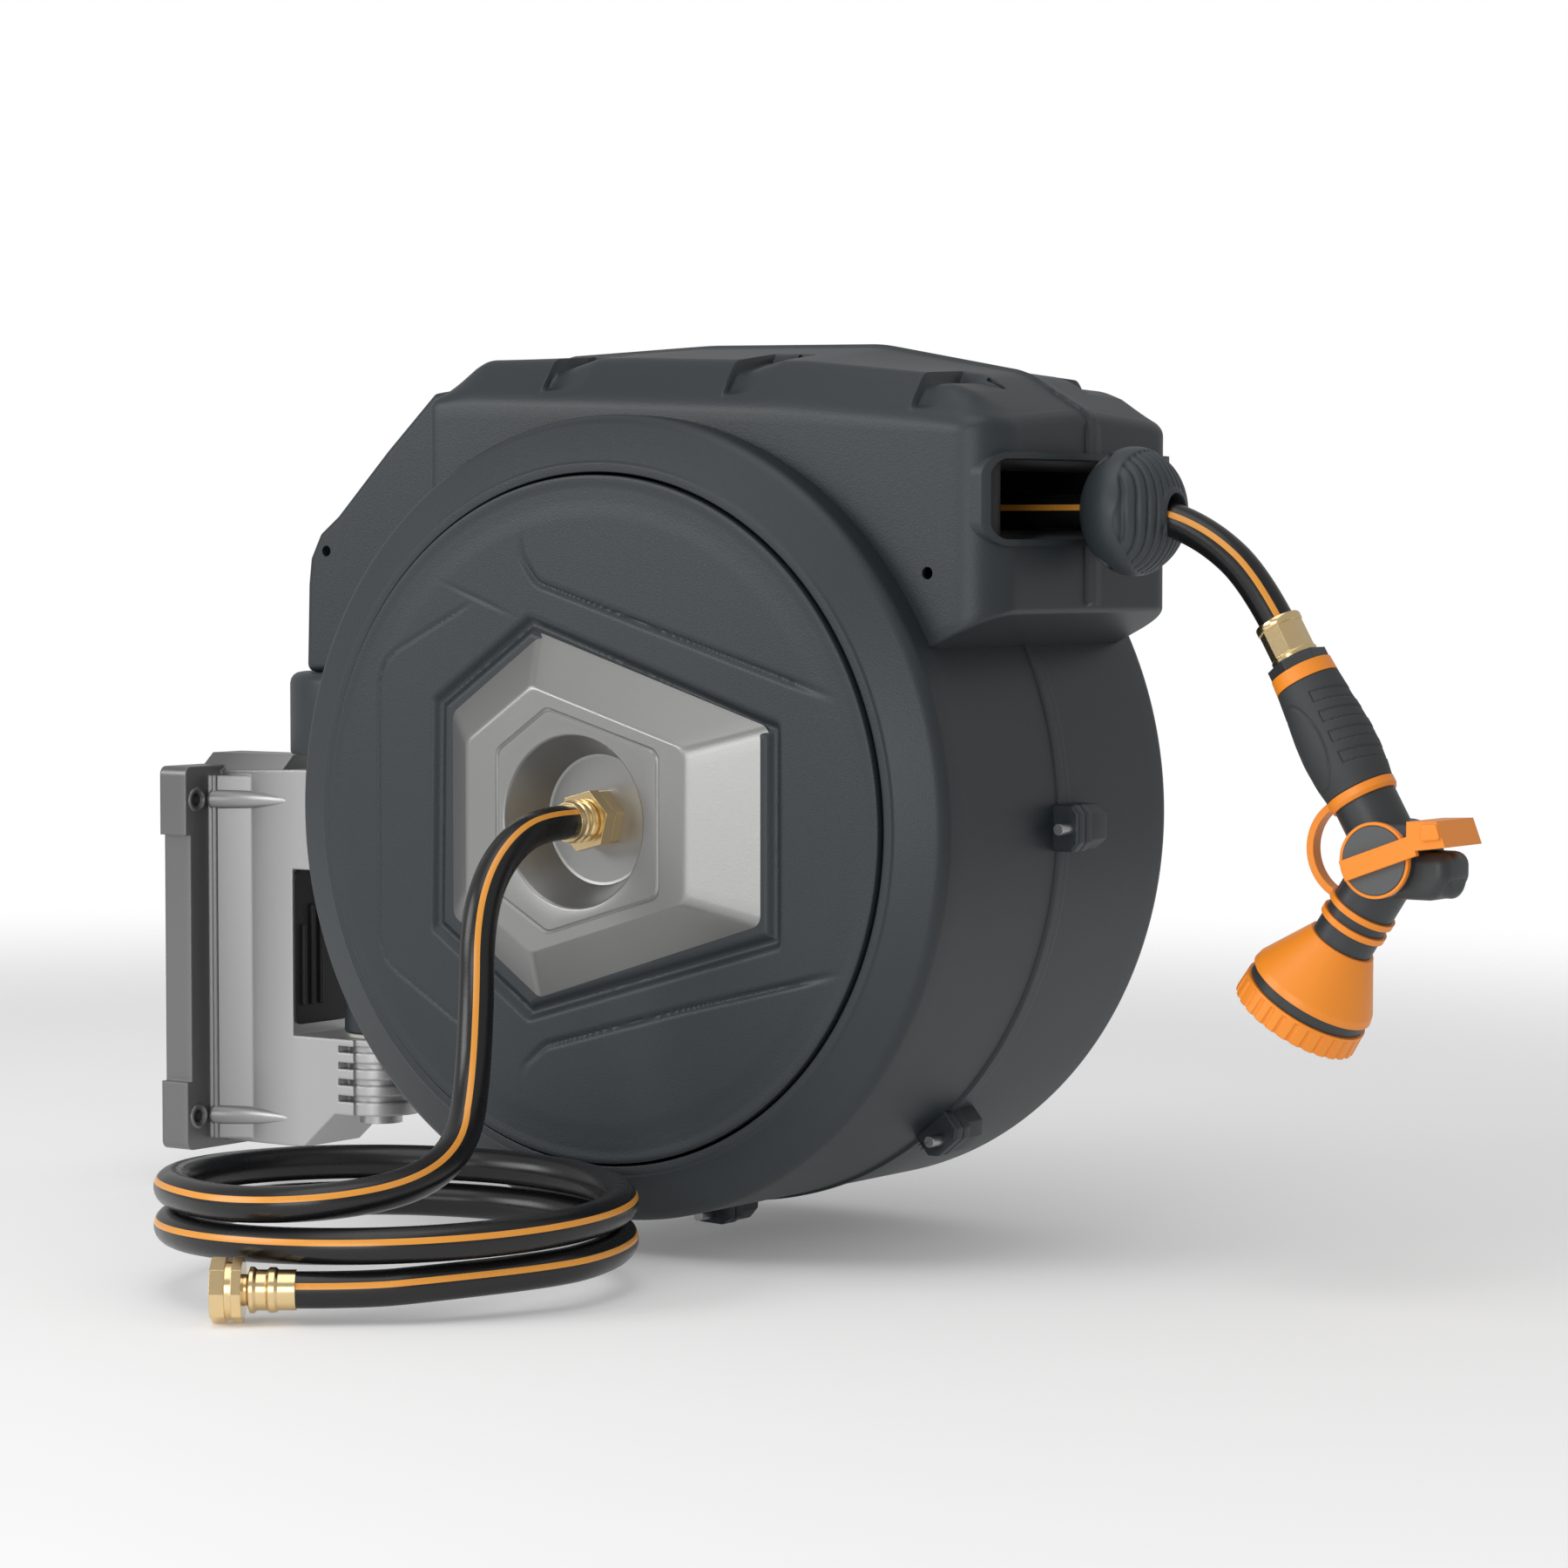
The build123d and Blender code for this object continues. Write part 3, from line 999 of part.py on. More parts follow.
CONE_END = 86.0
BAND_END = 92.0
DIAL_END = 105.0
HEAD_R = 35.0
with BuildPart() as nozzle_head:
    head_turned([(CORE_R, HEAD_START), (NECK_OUT_R + 1.5, HEAD_START), (HEAD_R - 1, CONE_END - 4),
                 (HEAD_R, CONE_END),
                 (HEAD_R - 3, CONE_END), (HEAD_R - 4, CONE_END - 4), (NECK_OUT_R + 1, HEAD_START + 6),
                 (CORE_R, HEAD_START + 6)])
save(nozzle_head.part, "nozzle_head")

with BuildPart() as pattern_band:
    head_turned([(9, CONE_END), (HEAD_R - 1.5, CONE_END), (HEAD_R - 1.5, BAND_END), (9, BAND_END)])
save(pattern_band.part, "pattern_band")

KNURLS = 28
with BuildPart() as nozzle_dial:
    head_turned([(9 + SLIP, BAND_END + RUN), (HEAD_R, BAND_END + RUN), (HEAD_R + 0.5, DIAL_END),
                 (HEAD_R - 4, DIAL_END),
                 (HEAD_R - 4, BAND_END + 3), (9 + SLIP, BAND_END + 3)])
    with BuildSketch(HEAD_PLANE.offset(BAND_END + 2)) as knurl_cuts:
        with PolarLocations(HEAD_R + 1, KNURLS):
            Circle(1.8)
    extrude(knurl_cuts.sketch, amount=DIAL_END - BAND_END, mode=Mode.SUBTRACT)
save(nozzle_dial.part, "nozzle_dial")

with BuildPart() as spray_plate:
    with BuildSketch(HEAD_PLANE.offset(DIAL_END - 4)) as plate_section:
        Circle(HEAD_R - 4 - SLIP)
        for ring_r, count in ((7, 6), (14, 12), (21, 18), (27, 24)):
            with PolarLocations(ring_r, count):
                Circle(0.9, mode=Mode.SUBTRACT)
    extrude(plate_section.sketch, amount=2)
save(spray_plate.part, "spray_plate")
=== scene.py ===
# %% [markdown]
# # A wall-hung, self-winding hose reel
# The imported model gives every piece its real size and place. This lesson gives the pieces their
# looks: moulded plastic, brass, rubber hose and a bright spray nozzle. Sizes are in metres, and
# the places come from the frame, mostly from the drum's axis.

# %% Load the frame
import json

import bmesh
import bpy
import numpy as np
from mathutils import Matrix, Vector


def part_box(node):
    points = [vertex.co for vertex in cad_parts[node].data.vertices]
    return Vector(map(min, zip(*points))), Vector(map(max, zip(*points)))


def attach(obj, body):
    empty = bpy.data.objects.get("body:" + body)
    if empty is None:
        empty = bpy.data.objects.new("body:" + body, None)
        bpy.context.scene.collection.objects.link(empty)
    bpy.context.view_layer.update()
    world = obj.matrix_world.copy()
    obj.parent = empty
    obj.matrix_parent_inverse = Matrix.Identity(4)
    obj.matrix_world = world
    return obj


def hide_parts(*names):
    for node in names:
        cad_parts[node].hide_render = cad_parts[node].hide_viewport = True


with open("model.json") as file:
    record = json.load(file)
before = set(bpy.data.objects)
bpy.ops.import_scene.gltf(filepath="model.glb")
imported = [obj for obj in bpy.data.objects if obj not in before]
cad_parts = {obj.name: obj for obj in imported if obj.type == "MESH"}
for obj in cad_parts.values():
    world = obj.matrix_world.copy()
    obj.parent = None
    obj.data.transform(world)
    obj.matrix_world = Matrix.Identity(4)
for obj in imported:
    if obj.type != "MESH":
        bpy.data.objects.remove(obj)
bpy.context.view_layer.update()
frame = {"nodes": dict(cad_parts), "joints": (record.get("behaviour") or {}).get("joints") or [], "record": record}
joints = {joint["name"]: joint for joint in frame["joints"]}
AXIS = np.array(joints["drum_spin"]["pos_m"])
VALVE = np.array(joints["flow_lever_turn"]["pos_m"])
MM = 0.001
print("drum axis at", AXIS)


def at_axis(points):
    """Points in millimetres from the middle of the drum's axis, as metres in the row frame."""
    return AXIS + np.asarray(points, float) * MM


# %% [markdown]
# ## Camera
# A long lens a few metres away keeps the round case round. The camera stands 35 degrees round from
# the inlet side, so that side and the front both show, and it looks almost level.

# %% The camera
CAMERA_AZIMUTH = np.radians(35.13)
CAMERA_HEIGHT = np.radians(3.05)
CAMERA_PLACE = (1.9257, -2.1291, 0.2563)
LENS_MM = 104.9
camera_data = bpy.data.cameras.new("camera")
camera_data.lens = LENS_MM
camera_data.sensor_width = 36.0
camera = bpy.data.objects.new("camera", camera_data)
bpy.context.scene.collection.objects.link(camera)
camera.location = CAMERA_PLACE
bpy.context.scene.view_settings.view_transform = "Standard"
camera.rotation_euler = (np.pi / 2 - CAMERA_HEIGHT, 0, CAMERA_AZIMUTH)
bpy.context.scene.camera = camera
TO_CAMERA = np.array([np.sin(CAMERA_AZIMUTH), -np.cos(CAMERA_AZIMUTH), 0.05])


# %% [markdown]
# ## Surfaces as arrays
# Most pieces here are one sheet of points: rows of a profile carried along a path or about an axis.
# The whole sheet is worked out as an array, and the faces join each point to its neighbours.

# %% Helpers for surfaces
SHARP_FOLD = np.radians(35)
EDGE_STEPS = 5
CAP_INSET = 0.5


def full_turn(steps):
    """Angles once round, evenly spaced, without the first one again."""
    return np.linspace(0, 2 * np.pi, steps, endpoint=False)


def grid_of(*parts):
    """Coordinates, stretched to one shape and put together as points."""
    return np.stack(np.broadcast_arrays(*parts), axis=-1)


def unit(vectors):
    """Vectors shortened or lengthened to 1."""
    return vectors / np.linalg.norm(vectors, axis=-1)[..., None]


def add_object(name, data):
    """Link new object data to the scene."""
    piece = bpy.data.objects.new(name, data)
    bpy.context.scene.collection.objects.link(piece)
    return piece


def surface(name, grid, around=False, caps=False, flip=False, keep=None):
    """A grid of points, rows by columns by xyz, as a smooth mesh.

    Faces join (row, column) to the next row and column. Around joins the last column to the first,
    and caps closes the first and last rows with a flat face. Keep says, from the middles of the
    faces in millimetres about the drum's axis, which of them stay.
    """
    rows, columns = grid.shape[:2]
    index = np.arange(rows * columns).reshape(rows, columns)
    right = np.roll(index, -1, axis=1) if around else index[:, 1:]
    left = index if around else index[:, :-1]
    quads = grid_of(left[:-1], right[:-1], right[1:], left[1:]).reshape(-1, 4)
    if keep:
        middles = grid.reshape(-1, 3)[quads].mean(axis=1)
        quads = quads[keep((middles - AXIS) / MM)]
    faces = [list(face) for face in (quads[:, ::-1] if flip else quads).tolist()]
    if caps:
        first, last = index[0].tolist(), index[-1].tolist()
        faces += [first, last[::-1]] if flip else [first[::-1], last]
    mesh = bpy.data.meshes.new(name)
    mesh.from_pydata(grid.reshape(-1, 3).tolist(), [], faces)
    mesh.shade_smooth()
    mesh.set_sharp_from_angle(angle=SHARP_FOLD)
    mesh.update()
    return add_object(name, mesh)


def soften(points, radius, closed=True, steps=5):
    """Round each corner of a flat outline with an arc that touches both of its sides.

    The arc starts and ends radius / tan(half the corner's angle) from the corner, limited to half
    of the shorter side.
    """
    points = np.asarray(points, float)
    before = np.roll(points, 1, axis=0) - points
    after = np.roll(points, -1, axis=0) - points
    len_in = np.linalg.norm(before, axis=1)
    len_out = np.linalg.norm(after, axis=1)
    to_in = before / len_in[:, None]
    to_out = after / len_out[:, None]
    half = np.arccos(np.clip((to_in * to_out).sum(1), -1, 1)) / 2
    reach = np.minimum(radius / np.tan(half), 0.49 * np.minimum(len_in, len_out))
    start = points + to_in * reach[:, None]
    end = points + to_out * reach[:, None]
    t = np.linspace(0, 1, steps)[None, :, None]
    pull = 2 * (1 - t) * t * np.sin(half)[:, None, None]
    blend = (1 - t) ** 2 + pull + t**2
    arcs = ((1 - t) ** 2 * start[:, None] + pull * points[:, None] + t**2 * end[:, None]) / blend
    if not closed:
        return np.concatenate([points[:1], arcs[1:-1].reshape(-1, 2), points[-1:]])
    return arcs.reshape(-1, 2)


def inward(outline):
    """The unit normals of a closed counter-clockwise outline, pointing into it."""
    run = np.roll(outline, -1, axis=0) - np.roll(outline, 1, axis=0)
    run = run / np.maximum(np.linalg.norm(run, axis=1), 1e-9)[:, None]
    return grid_of(-run[:, 1], run[:, 0])


def slab(name, outline, low, high, round_low, round_high, place):
    """A prism with rounded edges: rings of the outline, drawn in by r (1 - cos a) as a goes to 90 degrees.

    place turns (x, y, distance) in millimetres into the row frame.
    """
    normals = inward(outline)
    turn = np.linspace(0, np.pi / 2, EDGE_STEPS)
    rise, draw = 1 - np.sin(turn), 1 - np.cos(turn)
    heights = np.r_[low, low + round_low * rise[::-1], high - round_high * rise, high]
    insets = np.r_[round_low + CAP_INSET, round_low * draw[::-1], round_high * draw, round_high + CAP_INSET]
    rings = outline[None] + normals[None] * insets[:, None, None]
    grid = grid_of(rings[..., 0], rings[..., 1], heights[:, None])
    return surface(name, place(grid), around=True, caps=True)


def side_place(grid):
    """Millimetres (x, z, distance towards the inlet side) about the drum's axis, in the row frame."""
    return at_axis(grid_of(grid[..., 0], -grid[..., 2], grid[..., 1]))


def spun(name, profile, steps, flip=False, keep=None):
    """Turn a profile of (radius, y) in millimetres about the drum's axis: x = r cos a, z = r sin a."""
    profile = np.asarray(profile, float)
    angle = full_turn(steps)
    radius = profile[:, 0, None]
    grid = grid_of(radius * np.cos(angle), profile[:, 1, None], radius * np.sin(angle))
    return surface(name, at_axis(grid), around=True, flip=flip, keep=keep)


# %% [markdown]
# ## Hoses
# A hose is a fixed length of something bendy, so its line is a smooth spline through the air and
# round its coil, and its skin is a tube about that line. The tube carries its own UV map, because a
# coloured stripe runs the length of the hose and has to follow it round every bend.

# %% The hose builder
HOSE_D = 0.019


def spline_line(points):
    """Points along the NURBS spline that has these control points, as Blender works it out."""
    curve = bpy.data.curves.new("route", "CURVE")
    curve.dimensions = "3D"
    curve.resolution_u = 16
    spline = curve.splines.new("NURBS")
    spline.points.add(len(points) - 1)
    spline.points.foreach_set("co", np.c_[points, np.ones(len(points))].ravel())
    spline.order_u = 3
    spline.use_endpoint_u = True
    carrier = add_object("route", curve)
    mesh = bpy.data.meshes.new_from_object(carrier)
    line = np.empty(len(mesh.vertices) * 3)
    mesh.vertices.foreach_get("co", line)
    bpy.data.objects.remove(carrier)
    line = line.reshape(-1, 3)
    gap = np.r_[True, np.linalg.norm(np.diff(line, axis=0), axis=1) > 1e-6]
    return line[gap]


def hose_tube(name, line, stripe_side, columns=24):
    """A tube about a line. Each ring lies across the line, with its first point on the stripe's side.

    The side is the given direction less its part along the line, and the other axis is their cross
    product. U runs round the hose from the stripe, and V along it in metres.
    """
    tangent = unit(np.gradient(line, axis=0))
    side = unit(stripe_side - tangent * (stripe_side * tangent).sum(1)[:, None])
    other = np.cross(tangent, side)
    angle = full_turn(columns)[None, :, None]
    rings = line[:, None] + HOSE_D / 2 * (np.cos(angle) * side[:, None] + np.sin(angle) * other[:, None])
    tube = surface(name, rings, around=True, caps=True)
    run = np.r_[0, np.cumsum(np.linalg.norm(np.diff(line, axis=0), axis=1))]
    layer = tube.data.uv_layers.new(name="hose")
    loops = np.empty(len(tube.data.loops), int)
    tube.data.loops.foreach_get("vertex_index", loops)
    around_u = (loops % columns) / columns
    around_u = np.minimum(around_u, 1 - around_u)
    layer.data.foreach_set("uv", np.stack([around_u, run[loops // columns]], axis=1).ravel())
    return tube, run[-1]


# %% The leader hose and its coil
COIL_CENTRE = np.array([-27.4, -265.0])
COIL_R = 119.5
COIL_TOP = -183.0
COIL_PITCH = 20.5
COIL_START = -54.9
COIL_POINTS = 20
COIL_FROM, COIL_TO, TAIL_FROM = 0.118, 1.9, 1.965
TAIL_DROP, TAIL_BEND, TAIL_HOSE = 2, 6, 41
STRIPE_RISE = 0.35


def coil_point(turn, radius=COIL_R):
    """A point of the coil: an angle that falls as the turns go by, and a height that steps down."""
    turn = np.asarray(turn, float)
    angle = np.radians(COIL_START - 360 * turn)
    x, y = COIL_CENTRE[0] + radius * np.cos(angle), COIL_CENTRE[1] + radius * np.sin(angle)
    return grid_of(x, y, COIL_TOP - COIL_PITCH * turn)


riser = [(0, -152, 0), (0, -174, 0), (0, -198.7, -8), (1, -220.5, -25.6), (3, -234, -52), (7, -240, -94),
         (14, -252, -131), (25, -272, -157), (34, -302, -171), (35, -335, -178), (19.5, -364, -182),
         (-8.7, -383, -184.5), (-43.5, -386.7, -186)]
coil_turns = np.arange(COIL_FROM + 1 / COIL_POINTS, COIL_TO, 1 / COIL_POINTS)
coil = coil_point(coil_turns, COIL_R / np.cos(np.pi / COIL_POINTS))
tail_angle = np.radians(COIL_START - 90)
tail_way = np.array([np.cos(tail_angle), np.sin(tail_angle), 0])
tail_start = coil_point(2) - np.array([0, 0, TAIL_DROP])
tail = np.stack([coil_point(TAIL_FROM), tail_start + tail_way * TAIL_BEND, tail_start + tail_way * TAIL_HOSE])
leader_line = spline_line(at_axis(np.concatenate([riser, coil, tail])))
from_coil = leader_line - at_axis([*COIL_CENTRE, 0])
from_coil[:, 2] = 0
outwards = unit(from_coil) + np.array([0, 0, STRIPE_RISE])
in_coil = np.clip((at_axis([0, 0, -150])[2] - leader_line[:, 2]) / 0.05, 0, 1)[:, None]
stripe_side = in_coil * outwards + (1 - in_coil) * (TO_CAMERA + np.array([0.1, 0, 0.5]))
leader, leader_length = hose_tube("leader_hose", leader_line, stripe_side)
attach(leader, "case")
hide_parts("leader_riser", "leader_coil", "leader_tail")
print("leader hose", round(leader_length, 3), "m")

# %% The hose end that is drawn out to the nozzle
HANDLE_LEAN = np.radians(29.6)
handle_way = np.array([-np.sin(HANDLE_LEAN), 0, np.cos(HANDLE_LEAN)])
HOSE_LINE = 170.0
HOSE_BEND, HOSE_END = 0.165, 0.128
level_run = at_axis([(0, 0, HOSE_LINE), (243, 0, HOSE_LINE), (281, 0, HOSE_LINE), (316.7, 0, 157)])
outlet = np.concatenate([level_run, [VALVE + handle_way * HOSE_BEND, VALVE + handle_way * HOSE_END]])
outlet_line = spline_line(outlet)
stripe_side = np.repeat((TO_CAMERA + np.array([0, 0, 0.15]))[None], len(outlet_line), axis=0)
hose_end, outlet_length = hose_tube("hose_end", outlet_line, stripe_side)
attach(hose_end, "hose_end")
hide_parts("outlet_hose")
print("hose end", round(outlet_length, 3), "m")


# %% [markdown]
# ## Finishes
# A finish is shader maths. A small class wraps a socket, so that plain expressions such as
# 1 - mask * 0.5 add the Math nodes, and one method adds any other node.

# %% The socket class
class Wire:
    """One output socket that can be added, multiplied and compared."""

    def __init__(self, tree, socket):
        self.tree = tree
        self.socket = socket

    def node(self, kind, settings=None, inputs=None, out=0):
        """Add a node: its settings first, ramp stops among them, then its sockets' values or links."""
        made = self.tree.nodes.new(kind)
        for name, value in (settings or {}).items():
            if name == "stops":
                ramp = made.color_ramp.elements
                while len(ramp) < len(value):
                    ramp.new(0.5)
                for element, (place, colour) in zip(ramp, value):
                    element.position = place
                    element.color = (*colour, 1) if len(colour) == 3 else colour
            else:
                setattr(made, name, value)
        for key, value in (inputs or {}).items():
            if isinstance(value, Wire):
                self.tree.links.new(value.socket, made.inputs[key])
            else:
                made.inputs[key].default_value = value
        return Wire(self.tree, made.outputs[out])

    def calc(self, operation, first, second):
        """One Math node."""
        return self.node("ShaderNodeMath", {"operation": operation}, {0: first, 1: second})

    def __add__(self, other):
        return self.calc("ADD", self, other)

    __radd__ = __add__

    def __sub__(self, other):
        return self.calc("SUBTRACT", self, other)

    def __rsub__(self, other):
        return self.calc("SUBTRACT", other, self)

    def __mul__(self, other):
        return self.calc("MULTIPLY", self, other)

    __rmul__ = __mul__

    def __lt__(self, other):
        return self.calc("LESS_THAN", self, other)

    def noise(self, scale, detail=3.0, rough=0.5):
        """Noise read at this vector."""
        return self.node("ShaderNodeTexNoise", None,
                         {"Vector": self, "Scale": scale, "Detail": detail, "Roughness": rough})

    def mix(self, share, low, high):
        """A colour between two, by a share from 0 to 1."""
        return self.node("ShaderNodeMix", {"data_type": "RGBA"},
                         {0: share, 6: (*low, 1) if isinstance(low, tuple) else low,
                          7: (*high, 1) if isinstance(high, tuple) else high}, out=2)


def new_finish(name, coordinate="Object"):
    """An empty material, its texture coordinate as a wire, and its shader."""
    material = bpy.data.materials.new(name)
    material.use_nodes = True
    tree = material.node_tree
    shader = tree.nodes["Principled BSDF"]
    start = tree.nodes.new("ShaderNodeTexCoord")
    return material, Wire(tree, start.outputs[coordinate]), shader


def plug(shader, **links):
    """Link wires to, or set values on, a shader's sockets; _ stands for a space."""
    for key, value in links.items():
        socket = shader.inputs[key.replace("_", " ")]
        if isinstance(value, Wire):
            value.tree.links.new(value.socket, socket)
        else:
            socket.default_value = value


def bumped(wire, height, strength, distance, edge=0.0):
    """A Bump node for a height, over edges that look rounded where an edge radius is given."""
    inputs = {"Strength": strength, "Distance": distance, "Height": height}
    if edge:
        inputs["Normal"] = wire.node("ShaderNodeBevel", {"samples": 4}, {"Radius": edge})
    return wire.node("ShaderNodeBump", None, inputs)


# %% [markdown]
# ### Moulded plastic
# The case is injection moulded with a fine spark-eroded grain, which breaks up reflections into a
# soft sheen. The grain is noise of about a millimetre in a Bump node, and colour and sheen drift
# slowly over the surface. A Bevel node rounds small edges in the shading alone, which costs no
# faces. The bracket's paint is the same recipe with painted shade added: its colour grows brighter away from the
# wall, darker on the flange and lighter along the arm, where the real paint is one colour.

# %% Plastic
GRAIN_SIZE, GRAIN_HEIGHT = 1100.0, 0.0004


def plastic(name, colour, rough, grain=0.25, edge=0.002, lighter=1.35, metallic=0.0, painted_shade_along_x=None):
    """Grained plastic: colour and roughness drift with slow noise, and a fine noise lifts the surface.

    Given two places along X and a brightness at each, the colour also grows brighter along X, which paints shade
    at one end and light at the other.
    """
    material, place, shader = new_finish(name)
    drift = place.noise(7.0, 2.0)
    fine = place.noise(GRAIN_SIZE, 2.0, 0.6)
    tone = tuple(min(1.0, lighter * c) for c in colour)
    shade = place.mix(drift, colour, tone)
    # Painted shade: the colour is scaled from dark to bright along X, standing in for how the light falls.
    if painted_shade_along_x:
        names = ("From Min", "From Max", "To Min", "To Max")
        x = place.node("ShaderNodeSeparateXYZ", None, {0: place})
        painted_shading = x.node("ShaderNodeMapRange", None, {"Value": x, **dict(zip(names, painted_shade_along_x))})
        shade = place.node("ShaderNodeVectorMath", {"operation": "SCALE"}, {0: shade, "Scale": painted_shading})
    plug(shader, Base_Color=shade, Roughness=rough + 0.10 * (drift - 0.5), Metallic=metallic,
         Normal=bumped(place, fine, grain, GRAIN_HEIGHT, edge))
    return material


case_plastic = plastic("slate_case", (0.017, 0.0225, 0.026), 0.42, grain=0.35, edge=0.0)
boss_plastic = plastic("grey_boss", (0.285, 0.285, 0.28), 0.34, grain=0.12, edge=0.0, lighter=1.1,
                       metallic=0.8)
# Painted shade: the bracket's colour is darker on the flange and brighter along the arm, where the real paint is
# one colour.
bracket_paint_with_painted_shade = plastic("bracket_grey_painted_shade", (0.47, 0.47, 0.474), 0.34, grain=0.10, lighter=1.12,
                        metallic=0.8, painted_shade_along_x=(0.016, 0.085, 0.42, 1.0))
inner_plastic = plastic("black_nylon", (0.012, 0.012, 0.013), 0.5)
stopper_plastic = plastic("stopper_plastic", (0.030, 0.038, 0.043), 0.42, grain=0.2)
dark_plastic = plastic("nozzle_charcoal", (0.030, 0.034, 0.036), 0.40, grain=0.2, edge=0.001)
grip_rubber = plastic("soft_grip", (0.034, 0.038, 0.040), 0.62, grain=0.3, edge=0.001)
orange_plastic = plastic("orange_plastic", (0.94, 0.285, 0.022), 0.36, grain=0.1, edge=0.0008, lighter=1.12)
lever_plastic = plastic("lever_grey", (0.085, 0.09, 0.092), 0.5, grain=0.2, edge=0.0008)
acetal = plastic("acetal", (0.55, 0.54, 0.50), 0.4)


# %% [markdown]
# ### Metals
# Turned brass and steel carry fine scratches that all run one way. A Mapping node squeezes plain
# noise along Z, which draws it out across, and that one pattern varies colour, roughness and bump.

# %% Metals
SCRATCHES = (90.0, 90.0, 1080.0)
METAL_EDGE = 0.0006


def metal(name, colour, rough):
    """Metal with fine scratches: noise stretched along one way, in the roughness and a faint bump."""
    material, place, shader = new_finish(name)
    stretched = place.node("ShaderNodeMapping", None, {"Vector": place, "Scale": SCRATCHES})
    lines = stretched.noise(9.0, 3.0)
    tone = tuple(0.80 * c for c in colour)
    plug(shader, Base_Color=place.mix(lines, tone, colour), Metallic=1.0,
         Roughness=rough + 0.16 * (lines - 0.5), Normal=bumped(place, lines, 0.06, 0.0003, METAL_EDGE))
    return material


brass = metal("polished_brass", (0.92, 0.70, 0.38), 0.18)
steel = metal("bare_steel", (0.52, 0.53, 0.54), 0.32)
spring_steel = metal("blued_strip", (0.20, 0.21, 0.24), 0.35)


# %% [markdown]
# ### Striped hose
# The stripe is a band of the UV map's first number, which is 0 on the stripe's side of the hose and
# grows both ways round it.

# %% Hose rubber
def hose_rubber(name, half_width=0.028):
    """Glossy black rubber with an orange stripe where U is under half_width."""
    material, place, shader = new_finish(name, "UV")
    u = place.node("ShaderNodeSeparateXYZ", None, {0: place})
    stripe = u < half_width
    body = Wire(place.tree, place.socket.node.outputs["Object"])
    wear = body.noise(60.0, 3.0)
    plug(shader, Base_Color=place.mix(stripe, (0.007, 0.007, 0.008), (0.80, 0.33, 0.045)),
         Roughness=0.20 + 0.16 * wear, Normal=bumped(body, body.noise(500.0), 0.08, 0.0004))
    return material


striped_hose = hose_rubber("striped_hose")
plain_rubber = plastic("plain_rubber", (0.012, 0.012, 0.013), 0.5)

# %% Every CAD node gets its finish from its material slot
finishes = {"bracket": bracket_paint_with_painted_shade, "steel": steel, "case": case_plastic, "boss": boss_plastic,
            "inner_plastic": inner_plastic, "bush": acetal, "brass": brass, "hose": plain_rubber,
            "seal": plain_rubber, "spring": spring_steel, "stopper": stopper_plastic,
            "nozzle_dark": dark_plastic, "grip": grip_rubber, "orange": orange_plastic,
            "lever_disc": lever_plastic}
node_slot = {row["node"]: row["material_slot"] for row in frame["record"]["subparts"]}
for node, piece in frame["nodes"].items():
    for place in piece.material_slots:
        place.material = finishes[node_slot[node]]
for tube in (leader, hose_end):
    tube.data.materials.append(striped_hose)


def dress(piece, body, slot, finish, *replaced):
    """Put a finish on a new piece, let it ride on a body, and hide the CAD nodes it stands for."""
    piece.data.materials.append(finish)
    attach(piece, body)
    if replaced:
        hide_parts(*replaced)
    return piece


def case_part(piece, *replaced):
    """Dress a piece of the case in the case's plastic."""
    return dress(piece, "case", "case", case_plastic, *replaced)


# %% [markdown]
# ## The case
# The case is two moulded shells that meet in a bead. It is made here in four kinds of skin: a hood
# that holds the mouth, a rim turned about the drum's axis, slabs for the tail and lugs, and two
# covers. Each is worked out from a formula, so every edge can be as round as a moulding's.

# %% Small formulas for moulded shapes
def ramp(share):
    """A smooth step: 3 t^2 - 2 t^3 for a share t held between 0 and 1."""
    share = np.clip(share, 0, 1)
    return share * share * (3 - 2 * share)


def soft_min(first, second, blend):
    """The lower of two heights, with the corner between them rounded over a blend."""
    share = np.clip(0.5 + 0.5 * (second - first) / blend, 0, 1)
    return second + (first - second) * share - blend * share * (1 - share)


def fillet_drop(distance, radius):
    """How far a rounded edge lies below its flat, at a distance from the wall: a quarter circle."""
    reach = radius - np.clip(distance, 0, radius)
    return radius - np.sqrt(radius**2 - reach**2)


def along(points, distances):
    """Points of a line at these distances from its start."""
    run = np.r_[0, np.cumsum(np.linalg.norm(np.diff(points, axis=0), axis=1))]
    return np.stack([np.interp(distances, run, column) for column in points.T], axis=-1)


def seam_bead(y):
    """The height of the seam's bead at a distance across it: a ridge, and a lower lip on the far side."""
    ridge = 1.6 * ramp((3.4 - np.abs(y)) / 1.2)
    lip = 0.8 * ramp(np.minimum(y + 1, 9.5 - y) / 1.2)
    return np.maximum(ridge, lip)


# %% The hood
# Sections along X: bottom, crease, top edge and ridge heights above the drum's axis.
HOOD_X, HOOD_LOW, HOOD_CREASE, HOOD_TOP, HOOD_RIDGE = np.array([
    (-145, 100, 236, 238, 240), (-117, 100, 237.5, 259, 262), (-12, 100, 234, 258, 266),
    (107, 100, 229, 253.5, 264), (201, 96, 220.5, 244.5, 247), (241, 116, 217.5, 219, 224.5)]).T
HOOD_HALF = 97.0
HOOD_TOP_HALF = 79.0
HOOD_BACK, HOOD_FRONT = -145.0, 241.0
FRONT_CORNER, BACK_CORNER = 24.0, 8.0
HOOD_EDGE = 5.0
NOTCHES = (-64.0, 62.0, 186.0)
NOTCH_LONG, NOTCH_DEEP, NOTCH_INNER = 30.0, 6.5, 42.0
CASE_R = 224.0


